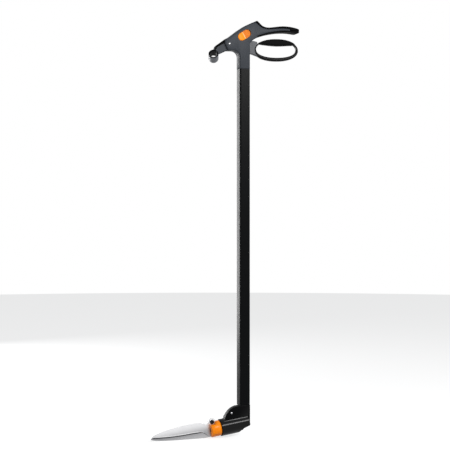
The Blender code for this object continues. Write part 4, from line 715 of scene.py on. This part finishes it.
bm.to_mesh(loop_rim.data)
bm.free()
seated(smooth_shaded(loop_rim, 60), "trigger", "black_plastic")


# Finger pad
# A soft black rubber sleeve moulded round the loop's upper bar and thickest in its middle, where the
# fingers pull on it.
blended("finger_pad", "finger_sleeve", grip_rubber, "trigger", "soft_grip", rounds=6)


# Lock slider
# An orange slider behind an opening in the near half: a thin plate with a scooped thumb rest that rises
# to a ridge. A leaf spring clicks it into its two places and a steel tongue behind it holds the lever.
LOCK_WAY = Vector((0.847045, 0, 0.531521))
LOCK_ACROSS = Vector((-LOCK_WAY.z, 0, LOCK_WAY.x))
LOCK_R, LOCK_END, LOCK_TRAVEL = 9.7 * MM, -1 * MM, 10 * MM
LOCK_FACE, LOCK_BASE, RIDGE_HIGHLIGHT_WIDTH = 10.7 * MM, 10 * MM, 4 * MM
REST_SPINE, REST_STEP, REST_STEPS = -9 * MM, 0.5 * MM, 14
REST_LOW_END, RIDGE_TOP = REST_SPINE - LOCK_R, -2.5 * MM
SCOOP_HEIGHT, RIDGE_RISE, SCOOP_BEND, RIDGE_DROP = 3.5 * MM, 2.3 * MM, 1.7, 1.1 * MM
EDGE_DROP, EDGE_REACH = 1.5 * MM, 1.8 * MM
# Its edges are painted paler, partly as rubbed wear and partly as a painted highlight along the ridge.
orange_plastic = finish("orange_plastic", (0.92, 0.27, 0.002), (1.0, 0.5, 0.1), roughness=0.36,
                        specular=0.16, grain=3200.0, depth=0.005, spread=0.06, fade=0.08, edge=0.5, soft=0.5)


def half_round(middle, r, start, steps):
    """Points round half a circle, from an angle in degrees; its middle lies on the slider's line."""
    angles = [radians(start + 180 * i / steps) for i in range(steps + 1)]
    return [(middle + r * cos(a), r * sin(a)) for a in angles]


def rest_height(along, inward):
    """The rest's rise: a scoop up to the ridge, a drop past it and a rounded edge all round."""
    share = (along - REST_LOW_END) / (RIDGE_TOP - REST_LOW_END)
    crown = SCOOP_HEIGHT + RIDGE_RISE * max(share, 0.0) ** SCOOP_BEND
    if along > RIDGE_TOP:
        past = (along - RIDGE_TOP) / (LOCK_END - RIDGE_TOP)
        crown = SCOOP_HEIGHT + RIDGE_RISE - RIDGE_DROP * past ** 2
    return crown - EDGE_DROP * max(0.0, 1 - inward / EDGE_REACH) ** 2


def thumb_rest(bm, centre):
    """The scooped rest: closed rings that step in from its outline to its spine, then the spine's skin."""
    straight = [LOCK_END - REST_STEP * k for k in range(REST_STEPS)]
    outline = [(along, LOCK_R) for along in straight]
    outline += half_round(REST_SPINE, LOCK_R, 90, 26)
    outline += [(along, -LOCK_R) for along in reversed(straight)]
    rings = []
    steps = (0, 0.25, 0.6, 1.1, 1.8, 3, 4.8, 6.8, 8.8)
    for inward, raised in [(0.0, False)] + [(step * MM, True) for step in steps]:
        ring = []
        for along, side in outline:
            flat = Vector((along, side)).lerp(Vector((max(along, REST_SPINE), 0)), inward / LOCK_R)
            depth = LOCK_FACE + rest_height(flat.x, inward) if raised else LOCK_BASE
            point = centre + LOCK_WAY * flat.x + LOCK_ACROSS * flat.y
            ring.append(bm.verts.new((point.x, -depth, point.z)))
        rings.append(ring)
    skinned(bm, rings)
    bm.faces.new(rings[0])
    last, count = rings[-1], len(outline)
    for i in range(count // 2 - 1):
        corners = [last[i], last[i + 1], last[count - 2 - i], last[count - 1 - i]]
        bm.faces.new([v for k, v in enumerate(corners) if v not in corners[:k]])


low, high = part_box("lock_slider")
lock_centre = (low + high) / 2 + LOCK_WAY * LOCK_TRAVEL / 2
lock_centre.y = 0
# The plate beside the thumb rest takes a darker copy of the orange: painted shade for its recess.
orange_painted_shade = finish("orange_painted_shade", (0.68, 0.17, 0.001), (0.9, 0.35, 0.05), roughness=0.45, specular=0.1,
                       grain=3200.0, depth=0.005, spread=0.06, fade=0.08, soft=0.4)
# A paler, glossier copy of the orange for the ridge: a painted highlight where the ridge catches the light.
orange_ridge_highlight = finish("orange_ridge_highlight", (0.95, 0.4, 0.12), (1.0, 0.6, 0.3), roughness=0.3, specular=0.3,
                      grain=3200.0, depth=0.005, spread=0.06, fade=0.08, edge=0.6, soft=0.5)
bm = bmesh.new()
thumb_rest(bm, lock_centre)
rest_faces = len(bm.faces)
plate_r, plate_half, plate_mid = 11.5 * MM, 13.5 * MM, -5 * MM
plate_back, plate_edge, plate_rounding = 8.7 * MM, 10.4 * MM, 0.3 * MM
plate = half_round(plate_mid + plate_half, plate_r, -90, 20)
plate += half_round(plate_mid - plate_half, plate_r, 90, 20)
rings = []
for depth, inset in ((plate_back, 0), (plate_edge, 0), (LOCK_FACE, plate_rounding)):
    ring = []
    for along, side in plate:
        mid = Vector((max(min(along, plate_mid + plate_half), plate_mid - plate_half), 0))
        flat = Vector((along, side)).lerp(mid, inset / plate_r)
        point = lock_centre + LOCK_WAY * flat.x + LOCK_ACROSS * flat.y
        ring.append(bm.verts.new((point.x, -depth, point.z)))
    rings.append(ring)
skinned(bm, rings)
bm.faces.new(rings[0])
bm.faces.new(rings[-1])
bmesh.ops.recalc_face_normals(bm, faces=bm.faces)
bm.faces.ensure_lookup_table()
# The plate's faces take the darker orange, the painted shade.
for face in bm.faces[rest_faces:]:
    face.material_index = 1
# Faces of the rest near the ridge take the paler orange, the painted highlight.
for face in bm.faces[:rest_faces]:
    middle = face.calc_center_median()
    if (middle - lock_centre).dot(LOCK_WAY) > -RIDGE_HIGHLIGHT_WIDTH and middle.y < -LOCK_FACE:
        face.material_index = 2
slider = made(bm, "lock_thumb_slider", orange_plastic, orange_painted_shade, orange_ridge_highlight)
seated(smooth_shaded(slider, 38), "lock", "orange_plastic", "lock_slider")


# Foot housing
# Two halves of black nylon: a fine-grained quarter disc over the bell crank that runs into the polished
# barrel in which the blade head turns. The crank's pin shows as a bright head on the disc.
SWIVEL_AT = Vector((79.5, 0, -917.15)) * MM
SWIVEL_WAY = Vector((-0.990268, 0, -0.139173))
BARREL_R = 21.3 * MM
DISC_AT, DISC_R, DISC_DRAWN = Vector((65.5, 0, -912.75)) * MM, 41.45 * MM, 6 * MM
RIM_BAND, RIM_END_X, RIM_END_Z = 3 * MM, 2 * MM, 8 * MM
HOUSING_HALF, ON_BARREL, ALONG_BARREL = 13.5 * MM, 0.8 * MM, 0.3
polished_black = finish("polished_black", (0.001, 0.0011, 0.0013), (0.012, 0.012, 0.013), roughness=0.14,
                        specular=0.17, grain=3000.0, depth=0.003, spread=0.05, fade=0.3, edge=0.35, soft=0.5)
for side in ("near", "far"):
    shell = refined("foot_shell_" + side, "foot_half_" + side, black_plastic, "tube_and_housings",
                    "black_plastic", sharp=24)
    shell.data.materials.append(polished_black)
    # The far half's curved rim leans in towards its outer face.
    if side == "far":
        for vert in shell.data.vertices:
            off = Vector((vert.co.x, 0, vert.co.z)) - DISC_AT
            if abs(off.length - DISC_R) < RIM_BAND and off.x < RIM_END_X and off.z > RIM_END_Z:
                share = max(vert.co.y, 0) / HOUSING_HALF
                vert.co -= off.normalized() * DISC_DRAWN * share ** 2
    for face in shell.data.polygons:
        off = face.center - SWIVEL_AT
        radius = (off - SWIVEL_WAY * off.dot(SWIVEL_WAY)).length
        if abs(radius - BARREL_R) < ON_BARREL and abs(face.normal.dot(SWIVEL_WAY)) < ALONG_BARREL:
            face.material_index = 1
pin_with_heads("crank_pin_turned", "crank_pin", "tube_and_housings", "bright_steel", pin_steel,
               flange=2.5 * MM, dome=1 * MM, shank=2 * MM)


# Blade head
# An orange collar on a black spindle carries the blades, which are ground from 2.4 mm sheet and turn
# on a socket-headed bolt with a nut behind; two painted rivets hold the fixed blade in the collar.
# The blades' steel carries painted shade, darker towards the cutting edges and over the whole lower
# blade, with a painted shadow line along the bevels.
BLADE_LEAN = -0.1396
# The dark line on each bevel by the cutting edge is a painted shadow of the gap between the blades.
GAP_SHADOW_BLACK, GAP_SHADOW_FROM, GAP_SHADOW_TO = (0.04, 0.04, 0.042), 1.9 * MM, 1.5 * MM
BEVEL_OUT, BEVEL_UP = 0.2, 0.15
collar_orange = finish("collar_orange", (0.95, 0.25, 0.001), (1.0, 0.45, 0.08), roughness=0.3, specular=0.2,
                       grain=3200.0, depth=0.004, spread=0.06, fade=0.08, edge=0.4, soft=0.5)
refined("swivel_collar", "blade_collar", collar_orange, "head", "orange_plastic")
for node, name in (("blade_rivet_1", "collar_rivet_front"), ("blade_rivet_2", "collar_rivet_rear")):
    refined(node, name, collar_orange, "head", "orange_plastic", sharp=30)


def blade_finish(name, colour, **values):
    """Ground steel with fine lines across the blade."""
    return finish(name, colour, (0.9, 0.9, 0.9), metallic=1.0, grain=5200.0, spread=0.1,
                  stretch=(1, 0.02, 0.02), turn=BLADE_LEAN, **values)


def blade_shade_group():
    """Painted shade that runs up the blade, from a low colour to the steel's own between two heights."""
    tree, given, result = new_group(
        "ShaderNodeTree", "blade_painted_shade",
        [("Color", "NodeSocketColor", (0.7, 0.7, 0.7, 1)),
         ("Low Color", "NodeSocketColor", (0.3, 0.3, 0.3, 1)),
         ("From", "NodeSocketFloat", -6 * MM), ("To", "NodeSocketFloat", 21 * MM)],
        [("Color", "NodeSocketColor")])
    place = put(tree, "ShaderNodeTexCoord")
    off = put(tree, "ShaderNodeVectorMath", {0: place.outputs["Object"], 1: SWIVEL_AT}, operation="SUBTRACT")
    rise = put(tree, "ShaderNodeVectorMath", {0: off.outputs[0], 1: (SWIVEL_WAY.z, 0, -SWIVEL_WAY.x)},
               operation="DOT_PRODUCT")
    graded = put(tree, "ShaderNodeMapRange", {"Value": rise.outputs["Value"], "From Min": given["From"],
                                              "From Max": given["To"]}, interpolation_type="SMOOTHSTEP")
    tone = mixed_colour(tree, graded.outputs["Result"], given["Low Color"], given["Color"])
    tree.links.new(tone, result["Color"])
    return tree


def gap_shadow_group():
    """A painted shadow on a bevel: its dark colour takes over between two depths, beside the cutting edge."""
    tree, given, result = new_group(
        "ShaderNodeTree", "painted_gap_shadow",
        [("Color", "NodeSocketColor", (0.7, 0.7, 0.7, 1)),
         ("Shadow Color", "NodeSocketColor", (*GAP_SHADOW_BLACK, 1)),
         ("From", "NodeSocketFloat", GAP_SHADOW_FROM), ("To", "NodeSocketFloat", GAP_SHADOW_TO)],
        [("Color", "NodeSocketColor")])
    place = put(tree, "ShaderNodeTexCoord")
    parted = put(tree, "ShaderNodeSeparateXYZ", {"Vector": place.outputs["Object"]})
    covered = put(tree, "ShaderNodeMapRange", {"Value": parted.outputs["Y"], "From Min": given["From"],
                                               "From Max": given["To"]})
    tone = mixed_colour(tree, covered.outputs["Result"], given["Color"], given["Shadow Color"])
    tree.links.new(tone, result["Color"])
    return tree


BLADE_SHADE, GAP_SHADOW_LINE = blade_shade_group(), gap_shadow_group()


def toned(mat, group, values):
    """The finish with a shared tone laid over its colour."""
    tree = mat.node_tree
    base = tree.nodes["Principled BSDF"].inputs["Base Color"]
    tone = effect(tree, group, {"Color": base.links[0].from_socket, **values})
    tree.links.new(tone["Color"], base)
    return mat


def blade_steel(name, colour, low_colour, start, end):
    """Ground steel with painted shade graded up the blade, so that it is darkest along its cutting edge."""
    steel = blade_finish(name, colour, roughness=0.3, depth=0.004, fade=0.1, edge=0.25, soft=0.15)
    return toned(steel, BLADE_SHADE, {"Low Color": (*low_colour, 1), "From": start, "To": end})


# The upper blade's colour darkens towards its cutting edge: painted shade.
upper_steel = blade_steel("upper_blade_steel", (0.72, 0.72, 0.73), (0.32, 0.32, 0.33), -6 * MM, 21 * MM)
# The lower blade takes a darker copy of the steel, graded darkest along its cutting edge: painted shade where
# it lies behind the upper blade.
shaded_lower_steel = blade_steel("lower_blade_steel_shaded", (0.24, 0.24, 0.25), (0.41, 0.41, 0.42), -14 * MM, 6 * MM)


def ground_edge(name, colour, start, end):
    """A ground bevel, bright at its back, with a painted shadow of the gap between the blades along the
    cutting edge.
    """
    ground = blade_finish(name, colour, roughness=0.24, depth=0.003, fade=0.15, edge=0.3, soft=0.1)
    return toned(ground, GAP_SHADOW_LINE, {"Shadow Color": (*GAP_SHADOW_BLACK, 1), "From": start, "To": end})


upper_ground = ground_edge("upper_ground_edge", (0.72, 0.72, 0.73), -GAP_SHADOW_FROM, -GAP_SHADOW_TO)
# The lower bevel's steel is a darker copy as well: painted shade.
lower_ground = ground_edge("lower_ground_edge", (0.6, 0.6, 0.61), GAP_SHADOW_FROM, GAP_SHADOW_TO)
upper_blade = refined("moving_blade", "upper_blade", upper_steel, "blade", "blade_steel", sharp=12)
lower_blade = refined("fixed_blade", "lower_blade", shaded_lower_steel, "head", "blade_steel", sharp=12)
for blade, outward, look in ((upper_blade, -1, upper_ground), (lower_blade, 1, lower_ground)):
    blade.data.materials.append(look)
    for face in blade.data.polygons:
        if face.normal.y * outward > BEVEL_OUT and abs(face.normal.z) > BEVEL_UP:
            face.material_index = 1
BOLT_HEAD_R, BOLT_HEAD_DEPTH, BOLT_R = 5.2 * MM, 3 * MM, 3 * MM
HEX_R, HEX_TURN, HEX_DEPTH = 2.9 * MM, 0.2, 2.2 * MM
low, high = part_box("pivot_bolt")
bolt_centre = (low + high) / 2
near, far = low.y - bolt_centre.y, high.y - bolt_centre.y
bolt_black = finish("bolt_black", (0.004, 0.004, 0.006), (0.06, 0.06, 0.065), roughness=0.34, specular=0.2,
                    grain=4200.0, depth=0.003, spread=0.1, fade=0.3, edge=0.5)
bolt = turned_mesh("bolt_blank", [
    (near, 0), (near, BOLT_HEAD_R - 1.3 * MM), (near + 0.3 * MM, BOLT_HEAD_R - 0.6 * MM),
    (near + 0.9 * MM, BOLT_HEAD_R - 0.1 * MM), (near + 1.6 * MM, BOLT_HEAD_R),
    (near + BOLT_HEAD_DEPTH, BOLT_HEAD_R), (near + BOLT_HEAD_DEPTH, BOLT_R),
    (far - 0.5 * MM, BOLT_R), (far, BOLT_R - 0.5 * MM), (far, 0)], (0, 1, 0), bolt_centre, bolt_black)
corners = [pi * i / 3 + HEX_TURN for i in range(6)]
hexagon = [(bolt_centre.x + HEX_R * cos(a), bolt_centre.z + HEX_R * sin(a)) for a in corners]
socket_room = prism_cutter("socket_room", hexagon, low.y - MM, low.y + HEX_DEPTH)
socket_cut = bolt.modifiers.new("socket", "BOOLEAN")
socket_cut.operation = "DIFFERENCE"
socket_cut.object = socket_room
bolt = smooth_shaded(plain_mesh(bolt, "blade_bolt"), 32)
bpy.data.objects.remove(socket_room)
seated(bolt, "head", "dark_steel", "pivot_bolt")
refined("pivot_nut", "blade_nut", blackened, "head", "dark_steel", sharp=30)


# Inner works
# Rod, crank, guides, springs and bushes, seen only through the gaps: turned and pressed steel and
# white nylon, left as the solids are and given their finishes.
inner_looks = {"bright_steel": bright_steel, "dark_steel": blackened, "nylon": nylon,
               "black_plastic": black_plastic}
slots = {item["node"]: item["material_slot"] for item in frame["record"]["subparts"]}
for node, obj in frame["nodes"].items():
    if slots[node] in inner_looks:
        for place in obj.material_slots:
            place.material = inner_looks[slots[node]]


# Studio
# A pale floor and backdrop, a soft key light and a brighter strip from the upper right, a fill from the
# left and a tall panel behind on the left that draws the light bands along the tool's left sides.
VIEW_TURN = radians(20)
VIEW_DISTANCE = 2.8
VIEW_TARGET = Vector((30.5, 0, -420.2)) * MM
FIELD_PIXELS, FOCAL_PIXELS, SENSOR = 450, 1120, 36.0
FLOOR_DROP, FLOOR_RADIUS, FLOOR_LIFT = 1 * MM, 6.0, 0.66
WORLD_STRENGTH = 0.3


def seen_share(tree):
    """1 for the rays that show the backdrop: to the camera, in a reflection or through something clear."""
    rays = put(tree, "ShaderNodeLightPath").outputs
    seen = calc(tree, "MAXIMUM", rays["Is Camera Ray"], rays["Is Glossy Ray"])
    return calc(tree, "MAXIMUM", seen, rays["Is Transmission Ray"])


world = bpy.data.worlds.new("studio")
bpy.context.scene.world = world
world.use_nodes = True
tree = world.node_tree
tree.nodes.clear()
lit = put(tree, "ShaderNodeBackground", {"Color": (0.96, 0.98, 1.0, 1), "Strength": WORLD_STRENGTH})
white = put(tree, "ShaderNodeBackground", {"Color": (1, 1, 1, 1), "Strength": 1.0})
choice = put(tree, "ShaderNodeMixShader", {0: seen_share(tree), 1: lit.outputs[0], 2: white.outputs[0]})
put(tree, "ShaderNodeOutputWorld", {"Surface": choice.outputs[0]})

floor_mat = bpy.data.materials.new("studio_floor")
floor_mat.use_nodes = True
tree = floor_mat.node_tree
tree.nodes.clear()
matt = put(tree, "ShaderNodeBsdfDiffuse", {"Color": (0.5, 0.5, 0.5, 1)})
lift = calc(tree, "MULTIPLY", seen_share(tree), FLOOR_LIFT)
glow = put(tree, "ShaderNodeEmission", {"Color": (1, 1, 1, 1), "Strength": lift})
both = put(tree, "ShaderNodeAddShader", {0: matt.outputs[0], 1: glow.outputs[0]})
put(tree, "ShaderNodeOutputMaterial", {"Surface": both.outputs[0]})

floor_z = cad_box[0][2] - FLOOR_DROP
bm = bmesh.new()
bmesh.ops.create_circle(bm, cap_ends=True, segments=96, radius=FLOOR_RADIUS,
                        matrix=Matrix.Translation((0, 0, floor_z)))
made(bm, "floor", floor_mat)


def soft_light(name, place, size, power):
    """A soft panel of a width and height that faces the middle of the tool, unseen by the camera."""
    lamp = bpy.data.lights.new(name, "AREA")
    lamp.shape = "RECTANGLE"
    lamp.size, lamp.size_y = size
    lamp.energy = power
    light = linked(name, lamp)
    light.location = place
    light.rotation_euler = (VIEW_TARGET - Vector(place)).to_track_quat("-Z", "Y").to_euler()
    light.visible_camera = False
    return light


soft_light("key_light", (0.8, -2.0, 0.58), size=(1.8, 0.9), power=14)
soft_light("strip_light", (0.8, -2.0, 0.5), size=(1.8, 0.32), power=38)
soft_light("left_light", (-2.3, -1.2, -0.3), size=(1.2, 1.2), power=15)
soft_light("rear_light", (-0.78, 2.3, -0.42), size=(0.5, 2.2), power=38)

camera = linked("camera", bpy.data.cameras.new("camera"))
camera.data.sensor_width = SENSOR
camera.data.lens = SENSOR * FOCAL_PIXELS / FIELD_PIXELS
camera.location = VIEW_TARGET + Vector((-sin(VIEW_TURN), -cos(VIEW_TURN), 0)) * VIEW_DISTANCE
camera.rotation_euler = (pi / 2, 0, -VIEW_TURN)
bpy.context.scene.camera = camera
bpy.context.scene.view_settings.view_transform = "Standard"
